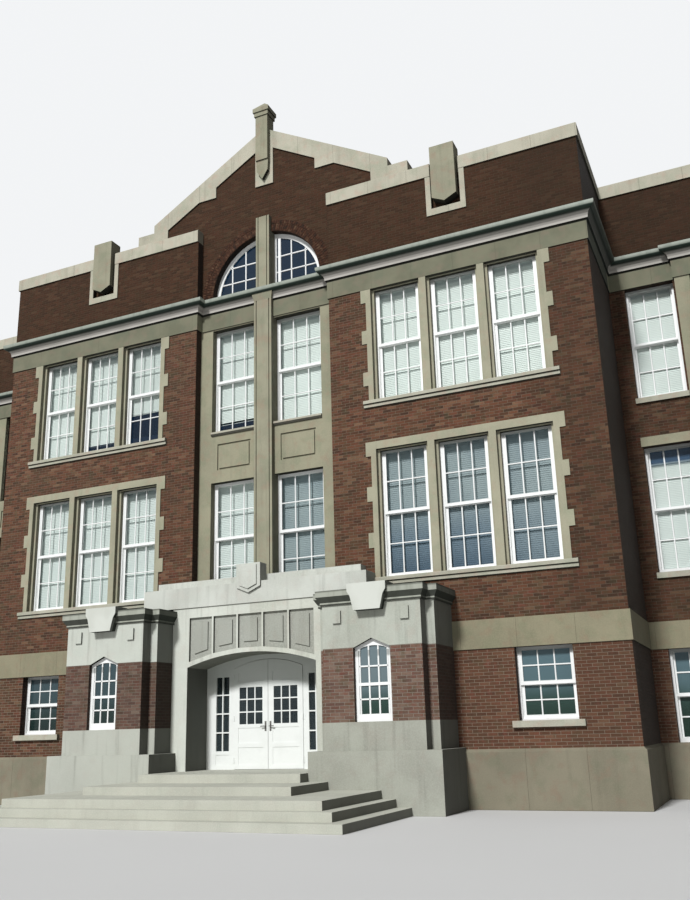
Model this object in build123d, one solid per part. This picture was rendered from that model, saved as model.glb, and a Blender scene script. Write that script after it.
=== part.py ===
from build123d import *
from math import asin, cos, pi, sin, sqrt
import os

os.makedirs("parts", exist_ok=True)

# Driving dimensions in millimetres. X runs along the front, Y into the building, Z up,
# and the origin lies on the ground under the middle of the main front.
WALL = 400              # thickness of every outer wall
BAY_IN = 1970           # half width of the recess in the middle of the front
RECESS = 238            # depth of that recess
BAY_OUT = 8392          # half width of the centre block
WING_WIDTH = 6718       # how far each wing runs on beyond it
WING_SET = 3000         # how far the wings stand back
REAR = 13000            # outer face of the rear wall

# Heights, from the ground up; each level below starts where the last one ends.
BASE_H = 1170           # stone base
LOW_H = 2020            # lower storey, from the base to the belt course
BELT_H = 610
SILL_RISE = 1110        # belt course to the sills of the second storey
SECOND_H = 3030         # windows of the second storey
SPANDREL_H = 1220       # wall between the two rows of tall windows
THIRD_H = 2920          # windows of the third storey
FRIEZE_H = 490
COVE_H = 190
GUTTER_H = 140
PARAPET_H = 1850
COPING_H = 370
THRESHOLD = 800         # ground floor above the ground outside
SILL_UP = 910           # upper floors lie this far below their sills
FLOOR_T = 150
ROOF_T = 300

# Mouldings: how far each stands out from the wall
BASE_OUT = 60
BELT_OUT = 30
CORNICE_OUT = 255
COVE_STEP = 45          # the cove springs this far outside the frieze
GUTTER_ROUND = (80, 85)  # rounded belly of the gutter: width, height
COPING_OUT = 40
COPING_BEVEL = 0.75     # slope on its upper edge, as a share of COPING_OUT
SILL_OUT = 90
SILL_H = 190
SILL_SHARES = (0.55, 0.45, 0.1)  # neck as a share of SILL_OUT; its top and the bevels, of SILL_H

# Groups of three windows in the centre block
GROUP_PITCH = 1440
OPEN_W = 1270
REBATE = (60, 30, 80)   # step in the stone round each opening: at the jambs, at the head, depth
JAMB = 130              # stone beside the outer openings
TOOTH = (130, 350, 1090)  # toothed stones of the jambs: width, height, spacing
HEAD_STONE = 190
STONE_OUT = 25          # jambs and lintels stand this far out from the brick
LOW_W = 1200            # single window of the lower storey
LOW_SILL_UP = 540       # its sill above the base
LOW_SILL_H = 130
REVEAL = 180            # wall face to window frame

# Window frames and panes
FRAME_D = 130
FRAME_RIM = 55
FRAME_FOOT = 95
SASH_STEP = 45          # the lower sash sits this far behind the upper one
RAIL = 60
PANE = 6
UPPER_GLASS = 30        # frame face to the glass of each sash
LOWER_GLASS = 85

# Middle bay: stone wall with a pier between two columns of windows
PIER_HALF = 257
PIER_OUT = 138          # the pier stands this far out from the recess wall
PIER_GROOVE = 30
PIER_EDGE = 70
MID_OUT = 1600          # outer edge of the openings beside the pier
MID_HEAD = (140, 30)    # their heads lie this far below those of the groups
PANEL_GAP = 330         # sunk spandrel panel: distance from the openings
PANEL_INSET = 180
PANEL_SINK = 35
PANEL_RIM = 49          # sunk rim round the raised field of the panel
MID_SILL = (60, 100)

# Gable, lunette and finial, heights above the parapet coping
GABLE_H = 2770
RAKE = (3630, 680)      # foot of the sloping coping: half width, height
KNEEL = (4170, 440)     # flat stone beyond it
RAKE_T = 545            # height of the coping measured plumb
NOTCH = (1550, 2110)    # flat step in the lower edge of the coping
FOOT_X = 3150           # where the brick ends
LUNETTE_UP = 100        # centre of the half round window above the gutter
LUNETTE_R = 1620
LUNETTE_RIM = 120
ARC_SIDES = 24          # flats that make up its arc
UPPER_PIER = (200, 2150)  # pier in front of the lunette: half width, height
FINIAL_HALF = 186
FINIAL_D = 360
FINIAL_Y = 50
FINIAL_DOWN = 1090      # shaft foot below the top of the gable
FINIAL_UP = (310, 560, 850)  # cap foot, cap top and tip above the top of the gable
FINIAL_LIP = 60
FINIAL_SLOT = (12, 60, 20)  # groove down each side: depth, then its edges in front of the middle
TAIL = (330, 590)       # shoulders and point of the tail below the shaft
TAIL_TAPER = 0.9        # width at the shoulders as a share of the shaft's
FINIAL_PANEL = (275, 720)  # stone behind the tail: half width, depth below the shaft

# Parapet pendants: pointed blocks hung over the coping, each in a niche with a flat border
PENDANT_HALF = 310
PENDANT_OUT = 150
PENDANT_BACK = 250
PENDANT_UP = 360        # top above the coping
PENDANT_DOWN = (840, 690)  # point and shoulders below the coping
PLATE_HALF = 500
PLATE_DOWN = 1090
PLATE_T = 30
NICHE = (60, 75, 110)   # gap beside the block, gap below its point, depth into the wall

# Portico: two side blocks, an arch between them and an attic over it
ARCH_GROW = 150         # the arch stands this far out beyond the recess on each side
ARCH_PIER = 430
ARCH_OUT_Y = 530        # arch face in front of the wall
BLOCK_W = 2210          # main face of each side block
STRIP = 190             # set-back strip on each side of it
BLOCK_OUT = 1450
STRIP_OUT = 1150
BLOCK_WALL = 250
PLINTH_SIDE = 150
PLINTH_FRONT = 100
PLINTH_UP = 40          # plinth above the base of the building
DADO_H = 560
HEAD_H = 900            # plain stone over the brick band
HEAD_DOWN = 370         # its top below the top of the arch block
CAP_OUT = (35, 110)
CAP_H = (60, 120, 130)
CORBEL = ((295, -160), (370, 140), (435, 240), (435, 400))  # half width, height from the head
CORBEL_OUT = 200
KEY = (760, 95, 385, 125)  # small blocks: offset, half width, lower and upper edge below the head
KEY_OUT = 45
LANCET_W = 820
LANCET_TOP = (10, 175)  # shoulder below and point above the brick band
LANCET_LIGHT = (75, 150, 70, 110)  # rim, foot, springing below the shoulder, rise of the curved head
LANCET_FRAME = 100
LANCET_SET = 90

ARCH_RISE = 280
PANEL_H = 880           # crown of the arch to the top of the frieze panels
ARCH_CAP = 240
ARCH_DROP = 380         # top of the arch block below the second-storey sills
PANEL_PITCH = 670
PANEL_MARGIN = 45
FIELD_INSET = 130
PANEL_LIFT = (110, 250)  # lower edges of panel and field above the arch
FIELD_DOWN = 110
PANEL_DEEP = 60
FIELD_OUT = 30
ATTIC_H = 490
ATTIC_STEP = (235, 190)  # its upper step: set in at each end, height
ATTIC_BACK = 230
ATTIC_LIP = 30
SHIELD = (320, 260, 120, 430)  # half width; point, shoulders below and top above the attic
SHIELD_EDGE = 90
SHIELD_OUT = 50
SHIELD_FACE = 30

# Steps: half width, reach in front of the plinths, rise
STEPS = ((4190, 3200, 155), (3870, 2910, 155), (3570, 2660, 160), (2420, 1600, 160))
PORCH_REACH = 350

# Entrance screen and doors
SCREEN_Y = 340
SCREEN_D = 90
DOOR_HALF = 920
DOOR_D = 45
DOOR_Y = 330
DOOR_DROP = (20, 110)   # top of the leaves below the arch, at the hinge and in the middle
CURVE_SIDES = 8         # flats in the curved top of a leaf
DOOR_GAP = 6
HEAD_GAP = 9
DOOR_LIFT = 8
SIDE_LITES = (145, 265, 415, 210)  # panes of a sidelight: from the door, stone, floor, springing
SIDE_PANEL = (100, 330)
SIDE_BAR = 30
BAR_DEEP = 40
LITES = (150, 145, 1015, 450)  # panes of a leaf: from the middle, hinge side, floor, top
LITE_BAR = 28
LITE_DEEP = 20
LOW_PANEL = (100, 490)
LOCK_PANEL = (590, 930)
TOP_PANEL = (320, 100)
PANEL_CUT = 12
KNUCKLE = 10            # hinge knuckle and pin radii
PIN = 4
PIN_CLEAR = 0.3
PIN_OUT = 8             # pin centre in front of the leaf
KNUCKLE_L = 110
PIN_GAP = 2             # each end of the knuckle to the arms that hold the pin
PIN_ARM = (1.4, 2.2)    # edges of those arms from the pin, in knuckle radii
HINGE_END = 205         # outer hinges from the ends of the leaf
HINGE_PLATE = (40, 3)   # width and thickness of the hinge leaf on the door
HANDLE = (65, 960)      # from the middle, above the floor
HANDLE_PLATE = (22, 110, 8)  # half width, half height, thickness
SPINDLE = (9, 50)       # radius, length
LEVER = (110, 12, 11)   # length, thickness, half height

# Wings, ends and rear
WING_BAY = 1780         # half width of the stone bay on each wing
WING_BAY_OUT = 120
WING_PITCH = 850        # its two windows from its middle
WING_GAP = 50           # stone bay to the window beside it
WING_OPEN = 1150
SILL_STONE = 130
SILL_STONE_OUT = 60
LINTEL_H = 230
LINTEL_END = 40
REAR_COLS = 8
SIDE_COLS = 2

# Levels and outlines that follow from the sizes above
BELT_Z = BASE_H + LOW_H
SECOND = (BELT_Z + BELT_H + SILL_RISE, BELT_Z + BELT_H + SILL_RISE + SECOND_H)
THIRD = (SECOND[1] + SPANDREL_H, SECOND[1] + SPANDREL_H + THIRD_H)
FRIEZE_Z = THIRD[1]
COVE_Z = FRIEZE_Z + FRIEZE_H
GUTTER = (COVE_Z + COVE_H, COVE_Z + COVE_H + GUTTER_H)
ROOF_TOP = GUTTER[1]
COPING = (GUTTER[1] + PARAPET_H, GUTTER[1] + PARAPET_H + COPING_H)
FLOORS = (THRESHOLD, SECOND[0] - SILL_UP, THIRD[0] - SILL_UP)
LOW = (BASE_H + LOW_SILL_UP, BELT_Z)
STOREYS = ((BASE_H, BELT_Z), SECOND, THIRD)

GROUP_X = (BAY_IN + BAY_OUT) / 2
LOW_X = GROUP_X + GROUP_PITCH
FRAME_W = OPEN_W - 2 * REBATE[0]
GROUP_HALF = GROUP_PITCH + OPEN_W / 2
PIER_Y = RECESS - PIER_OUT
MID_X = (PIER_HALF + MID_OUT) / 2
MID_W = MID_OUT - PIER_HALF
WING_OUT = BAY_OUT + WING_WIDTH
WING_MID = BAY_OUT + WING_WIDTH / 2
WING_SIDE = WING_BAY + WING_GAP + WING_OPEN / 2

GABLE_TOP = COPING[1] + GABLE_H
LUNETTE_Z = GUTTER[1] + LUNETTE_UP
FINIAL_FOOT = GABLE_TOP - FINIAL_DOWN

ARCH_OUT = BAY_IN + ARCH_GROW
ARCH_HALF = ARCH_OUT - ARCH_PIER
ARCH_Y = -ARCH_OUT_Y
ARCH_TOP = SECOND[0] - ARCH_DROP
PANEL_TOP = ARCH_TOP - ARCH_CAP
CROWN = PANEL_TOP - PANEL_H
SPRING = CROWN - ARCH_RISE
ARCH_R = (ARCH_HALF ** 2 + ARCH_RISE ** 2) / (2 * ARCH_RISE)
ATTIC_HALF = GROUP_X - GROUP_HALF - JAMB
ATTIC_TOP = ARCH_TOP + ATTIC_H
BLOCK = (ARCH_OUT + STRIP, ARCH_OUT + STRIP + BLOCK_W)
BLOCK_END = BLOCK[1] + STRIP
BLOCK_X = (BLOCK[0] + BLOCK[1]) / 2
PLINTH_X = (ARCH_OUT - PLINTH_SIDE, BLOCK_END + PLINTH_SIDE)
PLINTH_Y = -BLOCK_OUT - PLINTH_FRONT
PLINTH_TOP = BASE_H + PLINTH_UP
DADO_TOP = PLINTH_TOP + DADO_H
HEAD_TOP = ARCH_TOP - HEAD_DOWN
BRICK_BAND = HEAD_TOP - HEAD_H
LANCET_Z = (DADO_TOP, BRICK_BAND - LANCET_TOP[0], BRICK_BAND + LANCET_TOP[1])

DOOR_SIDE = SPRING - DOOR_DROP[0]
DOOR_MID = CROWN - DOOR_DROP[1]
HINGE_X = DOOR_HALF - DOOR_GAP
HINGE_Y = DOOR_Y - PIN_OUT
HINGE_Z = (THRESHOLD + HINGE_END, (THRESHOLD + DOOR_SIDE) / 2, DOOR_SIDE - HINGE_END)


def box(x0, x1, y0, y1, z0, z1):
    return Pos((x0 + x1) / 2, (y0 + y1) / 2, (z0 + z1) / 2) * Box(x1 - x0, y1 - y0, z1 - z0)


def prism_y(points, y0, y1):
    """Solid whose outline in X and Z runs from y0 to y1."""
    plane = Plane(origin=(0, y1, 0), x_dir=(1, 0, 0), z_dir=(0, -1, 0))
    return extrude(plane * make_face(Polyline(*points, close=True)), y1 - y0)


def prism_z(points, z0, z1):
    return extrude(Plane.XY.offset(z0) * make_face(Polyline(*points, close=True)), z1 - z0)


def prism_x(points, x0, x1):
    return extrude(Plane.YZ.offset(x0) * make_face(Polyline(*points, close=True)), x1 - x0)


def rod(radius, length):
    """Slim upright bar, drawn with eight sides."""
    return Pos(0, 0, -length / 2) * extrude(RegularPolygon(radius, 8), length)


def both(shape):
    """A shape and its mirror image on the other side of the middle."""
    return [shape, mirror(shape, about=Plane.YZ)]


def mirrored(points):
    """Right half of an outline, in X and Z from its foot upwards, with its left half added."""
    return points + [(-x, z) for x, z in reversed(points) if x > 0]


def save(name, shape):
    solids = shape if isinstance(shape, list) else [shape]
    flat = [s for item in solids for s in item.solids()]
    export_step(Compound(children=flat) if len(flat) > 1 else flat[0], f"parts/{name}.step")
    print(name, len(flat), "solids", round(sum(s.volume for s in flat) / 1e9, 3), "m3")


# Moulding runs round the outline of the building
def runs(profile, path, closed=False):
    """One mitred length of moulding for each side of a path of right-angled corners.

    The profile is a list of (distance out from the wall face, height)."""
    count = len(path)
    sides = count if closed else count - 1
    reach = 2 * max(abs(u) for u, v in profile)
    normals = []
    for i in range(sides):
        (x0, y0), (x1, y1) = path[i], path[(i + 1) % count]
        size = abs(x1 - x0) + abs(y1 - y0)
        normals.append(((y1 - y0) / size, -(x1 - x0) / size))
    solids = []
    for i in range(sides):
        a, b = path[i], path[(i + 1) % count]
        n = normals[i]
        before = normals[i - 1] if closed or i > 0 else n
        after = normals[(i + 1) % sides] if closed or i < sides - 1 else n
        cut = []
        for point, other in ((a, before), (b, after)):
            t = n if other == n else (n[0] + other[0], n[1] + other[1])
            cut.append(((point[0] - reach * t[0], point[1] - reach * t[1]),
                        (point[0] + reach * t[0], point[1] + reach * t[1])))
        d = (-n[1], n[0])
        length = abs(b[0] - a[0]) + abs(b[1] - a[1])
        start = (a[0] - 2 * reach * d[0], a[1] - 2 * reach * d[1], 0)
        plane = Plane(origin=start, x_dir=(n[0], n[1], 0), z_dir=(d[0], d[1], 0))
        up = 1 if plane.y_dir.Z > 0 else -1
        bar = extrude(plane * make_face(Polyline(*[(u, up * v) for u, v in profile], close=True)),
                      length + 4 * reach)
        quad = [cut[0][0], cut[0][1], cut[1][1], cut[1][0]]
        solids.append(bar & prism_z(quad, min(v for u, v in profile) - 1, max(v for u, v in profile) + 1))
    return solids


def outline(recess, breaks):
    """Corners of the plan from the left side of the recess round to it again."""
    w, o, s = BAY_OUT, WING_OUT, WING_SET
    right = [(w, 0), (w, s)]
    if breaks:
        for x, out in ((WING_MID - WING_BAY, 0), (WING_MID - WING_BAY, WING_BAY_OUT),
                       (WING_MID + WING_BAY, WING_BAY_OUT), (WING_MID + WING_BAY, 0)):
            right.append((x, s - out))
    right += [(o, s), (o, REAR)]
    left = [(-x, y) for x, y in reversed(right)]
    middle = [(-BAY_IN, 0), (-BAY_IN, RECESS), (BAY_IN, RECESS), (BAY_IN, 0)] if recess else []
    return middle + right + left


def cove_profile():
    """Frieze board, a cove that oversails it and a gutter with a rounded belly."""
    spring = BELT_OUT + COVE_STEP
    wide, high = GUTTER_ROUND
    points = [(0, FRIEZE_Z), (BELT_OUT, FRIEZE_Z), (BELT_OUT, COVE_Z), (spring, COVE_Z)]
    for i in range(1, 4):
        t = i / 3
        points.append((spring + (CORNICE_OUT - wide - spring) * (1 - sqrt(1 - t * t)), COVE_Z + COVE_H * t))
    for i in range(1, 4):
        turn = i * pi / 6
        points.append((CORNICE_OUT - wide + wide * sin(turn), GUTTER[0] + high * (1 - cos(turn))))
    return points + [(CORNICE_OUT, GUTTER[1]), (0, GUTTER[1] + COPING_OUT)]


# Windows
def lancet(width, z0, z1, z2, y0, y1, facets=1):
    """Opening with a pointed head, or a rounded one where it has several facets a side."""
    h = width / 2
    turns = [i * pi / 2 / facets for i in range(facets + 1)]
    return prism_y(mirrored([(h, z0)] + [(h * cos(t), z1 + (z2 - z1) * sin(t)) for t in turns[:-1]]
                            + [(0, z2)]), y0, y1)


def frame(width, height, stepped):
    """Double-hung frame; where it is stepped, the lower sash sits behind the upper one."""
    h = width / 2
    inner = h - FRAME_RIM
    low, high = height / 2 - RAIL / 2, height / 2 + RAIL / 2
    body = box(-h, h, 0, FRAME_D, 0, height)
    body -= box(-inner, inner, -1, FRAME_D + 1, FRAME_FOOT, low)
    body -= box(-inner, inner, -1, FRAME_D + 1, high, height - FRAME_RIM)
    if stepped:
        groove = FRAME_RIM / 3
        body -= box(-inner - groove, inner + groove, -1, SASH_STEP, FRAME_RIM - groove, low)
    return body


def sash_panes(width, height):
    inner = width / 2 - FRAME_RIM
    return [box(-inner, inner, UPPER_GLASS, UPPER_GLASS + PANE, height / 2 + RAIL / 2, height - FRAME_RIM),
            box(-inner, inner, LOWER_GLASS, LOWER_GLASS + PANE, FRAME_FOOT, height / 2 - RAIL / 2)]


def back_pane(width, height):
    """One sheet set against the back of the frame, for both sashes."""
    cover = FRAME_RIM / 3
    inner = width / 2 - FRAME_RIM + cover
    return box(-inner, inner, FRAME_D, FRAME_D + PANE, FRAME_FOOT - cover, height - FRAME_RIM + cover)


def front_places():
    """x, y of the frame's face, width, sill and head of each window in the centre block."""
    out = []
    for side in (-1, 1):
        for k in (-1, 0, 1):
            for sill, head in (SECOND, THIRD):
                out.append((side * GROUP_X + k * GROUP_PITCH, REVEAL, FRAME_W, sill, head))
        out.append((side * LOW_X, REVEAL, LOW_W, LOW[0], LOW[1]))
        for sill, head in mid_heights():
            out.append((side * MID_X, RECESS + REVEAL, MID_W, sill, head))
    return out


def mid_heights():
    return [(SECOND[0], SECOND[1] - MID_HEAD[0]), (THIRD[0], THIRD[1] - MID_HEAD[1])]


def other_places():
    """Wing, end and rear windows: position, turn about Z, sill, head."""
    out = []
    for sill, head in STOREYS:
        for side in (-1, 1):
            for offset in (-WING_SIDE, WING_SIDE, -WING_PITCH, WING_PITCH):
                out.append((side * (WING_MID + offset), WING_SET + REVEAL, 0, sill, head))
            for k in range(SIDE_COLS):
                y = WING_SET + (k + 0.5) * (REAR - WING_SET) / SIDE_COLS
                out.append((side * (WING_OUT - REVEAL), y, side * 90, sill, head))
        for k in range(REAR_COLS):
            x = (2 * (k + 0.5) / REAR_COLS - 1) * WING_OUT
            out.append((x, REAR - REVEAL, 180, sill, head))
    return out


def cut_openings(wall, places):
    for x, y, turn, sill, head in places:
        hole = box(-WING_OPEN / 2, WING_OPEN / 2, -WALL, WALL, sill, head)
        wall -= Pos(x, y, 0) * Rot(0, 0, turn) * hole
    return wall


# Centre block
def surround(sill, head, top, backing):
    """Stone round three windows, cut out of one slab: toothed jambs, mullions and a lintel.

    The backing is stone over the head that stays behind the wall face. Each opening is
    rebated, so its inner part is narrower and a little lower than its outer part."""
    edge = GROUP_HALF + JAMB
    width, high, spacing = TOOTH
    feet = []
    z = top - high
    while z > sill + high:
        feet.append(z)
        z -= spacing
    right = [(edge, sill)]
    for z in reversed(feet):
        right += [(edge, z), (edge + width, z), (edge + width, z + high), (edge, z + high)]
    slab = prism_y(mirrored(right[:-1]), -STONE_OUT, WALL)
    if backing:
        slab += box(-edge, edge, 0, WALL, top, top + backing)
    a, b = OPEN_W / 2, FRAME_W / 2
    drop, deep = REBATE[1:]
    for x in (-GROUP_PITCH, 0, GROUP_PITCH):
        slab -= box(x - a, x + a, -WALL, deep, sill - 1, head)
        slab -= box(x - b, x + b, -WALL, REVEAL, sill - 1, head - drop)
        slab -= box(x - b, x + b, REVEAL, WALL + 1, sill - 1, head)
    return Pos(GROUP_X, 0, 0) * slab


def moulded_sill():
    half = GROUP_HALF + JAMB + TOOTH[0]
    neck, middle, bevel = SILL_SHARES
    nose, neck, middle, bevel = -SILL_OUT, -neck * SILL_OUT, -middle * SILL_H, bevel * SILL_H
    profile = [(REVEAL, 0), (REVEAL, -SILL_H), (-bevel, -SILL_H), (neck, bevel - SILL_H),
               (neck, middle - bevel), (nose, middle), (nose, -bevel), (nose + bevel, 0)]
    return prism_x(profile, GROUP_X - half, GROUP_X + half)


def low_sill():
    half = LOW_W / 2 + LOW_SILL_H
    return box(LOW_X - half, LOW_X + half, -SILL_OUT, 0, LOW[0] - LOW_SILL_H, LOW[0])


def mid_sill():
    """Small moulding under a third-storey window of the middle bay."""
    out, high = MID_SILL
    half = MID_W / 2
    profile = [(RECESS, 0), (RECESS, -high), (RECESS - out / 2, -high), (RECESS - out, -high / 2),
               (RECESS - out, 0)]
    return Pos(0, 0, THIRD[0]) * prism_x(profile, MID_X - half, MID_X + half)


def front_wall(surrounds, sills):
    wall = box(BAY_IN, BAY_OUT, 0, WALL, BASE_H, COPING[0])
    for piece in surrounds + sills:
        wall -= piece
    for sill, head in (SECOND, THIRD):
        wall -= box(GROUP_X - GROUP_HALF, GROUP_X + GROUP_HALF, -1, WALL + 1, sill, head)
    return wall - box(LOW_X - LOW_W / 2, LOW_X + LOW_W / 2, -1, WALL + 1, *LOW)


def centre_bay():
    """Stone wall of the recess with four openings and sunk spandrel panels."""
    wall = box(-BAY_IN, BAY_IN, RECESS, RECESS + WALL, ARCH_TOP, COVE_Z)
    heights = mid_heights()
    low, high = heights[0][1] + PANEL_GAP, heights[1][0] - PANEL_GAP
    half = MID_W / 2 - PANEL_INSET
    rim = PANEL_RIM
    for x in (-MID_X, MID_X):
        for sill, head in heights:
            wall -= box(x - MID_W / 2, x + MID_W / 2, RECESS - 1, RECESS + WALL + 1, sill, head)
        panel = box(x - half, x + half, RECESS - 1, RECESS + PANEL_SINK, low, high)
        wall -= panel - box(x - half + rim, x + half - rim, 0, WALL, low + rim, high - rim)
    return wall


def grooved(half, y0, y1, z0, z1):
    """Square pier with an upright groove near each edge of its face."""
    shaft = box(-half, half, y0, y1, z0, z1)
    for x in (PIER_EDGE - half, half - PIER_EDGE):
        shaft -= box(x - PIER_GROOVE / 2, x + PIER_GROOVE / 2, y0 - 1, y0 + PIER_GROOVE, z0 - 1, z1 + 1)
    return shaft


def pier_plan(grow):
    """Plan of the pier, grown by the spread of its cap."""
    half, front = PIER_HALF + grow, PIER_Y - grow
    return [(-half, front), (half, front), (half, RECESS), (-half, RECESS)]


def rake_z(x):
    """Top of the gable's sloping coping."""
    return GABLE_TOP - (GABLE_H - RAKE[1]) * x / RAKE[0]


def brick_outline(foot):
    """Stepped upper edge of the gable's brickwork."""
    step = rake_z(NOTCH[1]) - RAKE_T
    return mirrored([(FOOT_X, foot), (FOOT_X, rake_z(FOOT_X) - RAKE_T), (NOTCH[1], step), (NOTCH[0], step),
                     (NOTCH[0], rake_z(NOTCH[0]) - RAKE_T), (0, GABLE_TOP - RAKE_T)])


def gable():
    """Stepped gable: brick with a lunette, and the stone coping that follows its steps."""
    y0, y1 = RECESS, RECESS + WALL
    top = COPING[1]
    brick = prism_y(brick_outline(top), y0, y1)
    brick += box(-BAY_IN, BAY_IN, y0, y1, COVE_Z, top)
    brick += box(-KNEEL[0], KNEEL[0], WALL + COPING_OUT, y1, ROOF_TOP, top)
    hole = Pos(0, RECESS, LUNETTE_Z) * Rot(90, 0, 0) * Cylinder(LUNETTE_R, 3 * WALL)
    brick -= hole & box(-LUNETTE_R, LUNETTE_R, -WALL, 2 * WALL, GUTTER[1], LUNETTE_Z + LUNETTE_R)
    coping = prism_y(mirrored([(KNEEL[0], top), (KNEEL[0], top + KNEEL[1]), (RAKE[0], top + KNEEL[1]),
                               (RAKE[0], top + RAKE[1]), (0, GABLE_TOP)]), y0 - COPING_OUT, y1 + COPING_OUT)
    coping -= prism_y(brick_outline(top - 1), y0 - WALL, y1 + WALL)
    half, low = FINIAL_PANEL
    coping += box(-half, half, y0 - COPING_OUT, y0, FINIAL_FOOT - low, GABLE_TOP - RAKE_T)
    return brick, coping


def finial():
    """Square shaft with a pyramid cap and a pointed tail, let into the top of the gable."""
    h, y0, y1 = FINIAL_HALF, FINIAL_Y, FINIAL_Y + FINIAL_D
    mid = (y0 + y1) / 2
    foot, neck, top, tip = [FINIAL_FOOT] + [GABLE_TOP + rise for rise in FINIAL_UP]
    shaft = box(-h, h, y0, y1, foot, neck)
    deep, far, near = FINIAL_SLOT
    for x in (-h, h):
        shaft -= box(x - deep, x + deep, mid - far, mid - near, foot - 1, neck)
    lip = FINIAL_LIP
    shaft += box(-h - lip / 2, h + lip / 2, y0 - lip / 2, y1 + lip / 2, neck, (neck + top) / 2)
    shaft += box(-h - lip, h + lip, y0 - lip, y1 + lip, (neck + top) / 2, top)
    wide, half = h + lip, FINIAL_D / 2 + lip
    pyramid = prism_y([(-wide, top), (wide, top), (0, tip)], mid - half, mid + half)
    pyramid &= prism_x([(mid - half, top), (mid + half, top), (mid, tip)], -wide, wide)
    shoulder, point = TAIL
    tail = prism_y(mirrored([(TAIL_TAPER * h, foot - shoulder), (h, foot)]) + [(0, foot - point)],
                   y0 + COPING_OUT, RECESS - COPING_OUT)
    return shaft + pyramid + tail


def pendant():
    """Pointed stone block hung over the parapet, the plate round it and the niche it hangs in."""
    x, h = GROUP_X, PENDANT_HALF
    side, under, deep = NICHE
    tip, shoulder = [COPING[0] - drop for drop in PENDANT_DOWN]
    top = COPING[1] + PENDANT_UP
    block = prism_y([(x - h, shoulder), (x, tip), (x + h, shoulder), (x + h, top), (x - h, top)],
                    -PENDANT_OUT, deep)
    block += box(x - h, x + h, deep, PENDANT_BACK, COPING[0], top)
    plate = box(x - PLATE_HALF, x + PLATE_HALF, -PLATE_T, 0, COPING[0] - PLATE_DOWN, COPING[0])
    niche = box(x - h - side, x + h + side, -PENDANT_OUT, deep, tip - under, top)
    return block, plate, niche


# Portico
def block_plan(grow):
    """Plan of a side block with set-back strips at its sides, grown by a moulding's width."""
    x0, x1, x2, x3 = BLOCK[0] - STRIP - grow, BLOCK[0] - grow, BLOCK[1] + grow, BLOCK_END + grow
    back, front = -STRIP_OUT - grow, -BLOCK_OUT - grow
    return [(x0, 0), (x0, back), (x1, back), (x1, front), (x2, front), (x2, back), (x3, back), (x3, 0)]


def portico_base():
    plinth = prism_z([(PLINTH_X[0], PLINTH_Y), (PLINTH_X[1], PLINTH_Y), (PLINTH_X[1], 0), (ARCH_OUT, 0),
                      (ARCH_OUT, ARCH_Y), (PLINTH_X[0], ARCH_Y)], 0, PLINTH_TOP)
    return plinth + prism_z(block_plan(0), PLINTH_TOP, DADO_TOP)


def portico_shell(z0, z1):
    t = BLOCK_WALL
    shell = prism_z(block_plan(0), z0, z1)
    shell -= box(ARCH_OUT + t, BLOCK_END - t, t - BLOCK_OUT, 1, z0 - 1, z1 + 1)
    window = lancet(LANCET_W, *LANCET_Z, -BLOCK_OUT - 1, t - BLOCK_OUT + 1)
    return shell - Pos(BLOCK_X, 0, 0) * window


def portico_head():
    head = portico_shell(BRICK_BAND, HEAD_TOP)
    offset, half, low, high = KEY
    for x in (BLOCK_X - offset, BLOCK_X + offset):
        head += box(x - half, x + half, -BLOCK_OUT - KEY_OUT, -BLOCK_OUT, HEAD_TOP - low, HEAD_TOP - high)
    return head


def portico_cap():
    """Moulded cap with a tapered corbel block in the middle."""
    z1 = HEAD_TOP + CAP_H[0]
    z2 = z1 + CAP_H[1]
    z3 = z2 + CAP_H[2]
    near, far = CAP_OUT
    cap = prism_z(block_plan(near), HEAD_TOP, z1)
    cap += loft([Plane.XY.offset(z) * make_face(Polyline(*block_plan(out), close=True))
                 for z, out in ((z1, near), (z2, far))])
    cap += prism_z(block_plan(far), z2, z3)
    cap -= box(0, ARCH_OUT, ARCH_Y, 1, HEAD_TOP - 1, z3 + 1)
    corbel = prism_y(mirrored([(half, HEAD_TOP + rise) for half, rise in CORBEL]),
                     -BLOCK_OUT - CORBEL_OUT, -BLOCK_OUT)
    half, rise = CORBEL[-1]
    corbel += box(-half, half, -BLOCK_OUT, BLOCK_WALL - BLOCK_OUT, z3, HEAD_TOP + rise)
    return cap + Pos(BLOCK_X, 0, 0) * corbel


def arch_pier():
    plan = [(ARCH_HALF, ARCH_Y), (ARCH_OUT, ARCH_Y), (ARCH_OUT, 0), (BAY_IN, 0), (BAY_IN, RECESS + WALL),
            (ARCH_HALF, RECESS + WALL)]
    return prism_z(plan, 0, SPRING)


def arch_z(x, grow=0):
    """Height of the arch, or of a curve above it, at a distance from the middle."""
    return CROWN - ARCH_R + sqrt((ARCH_R + grow) ** 2 - x * x)


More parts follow.
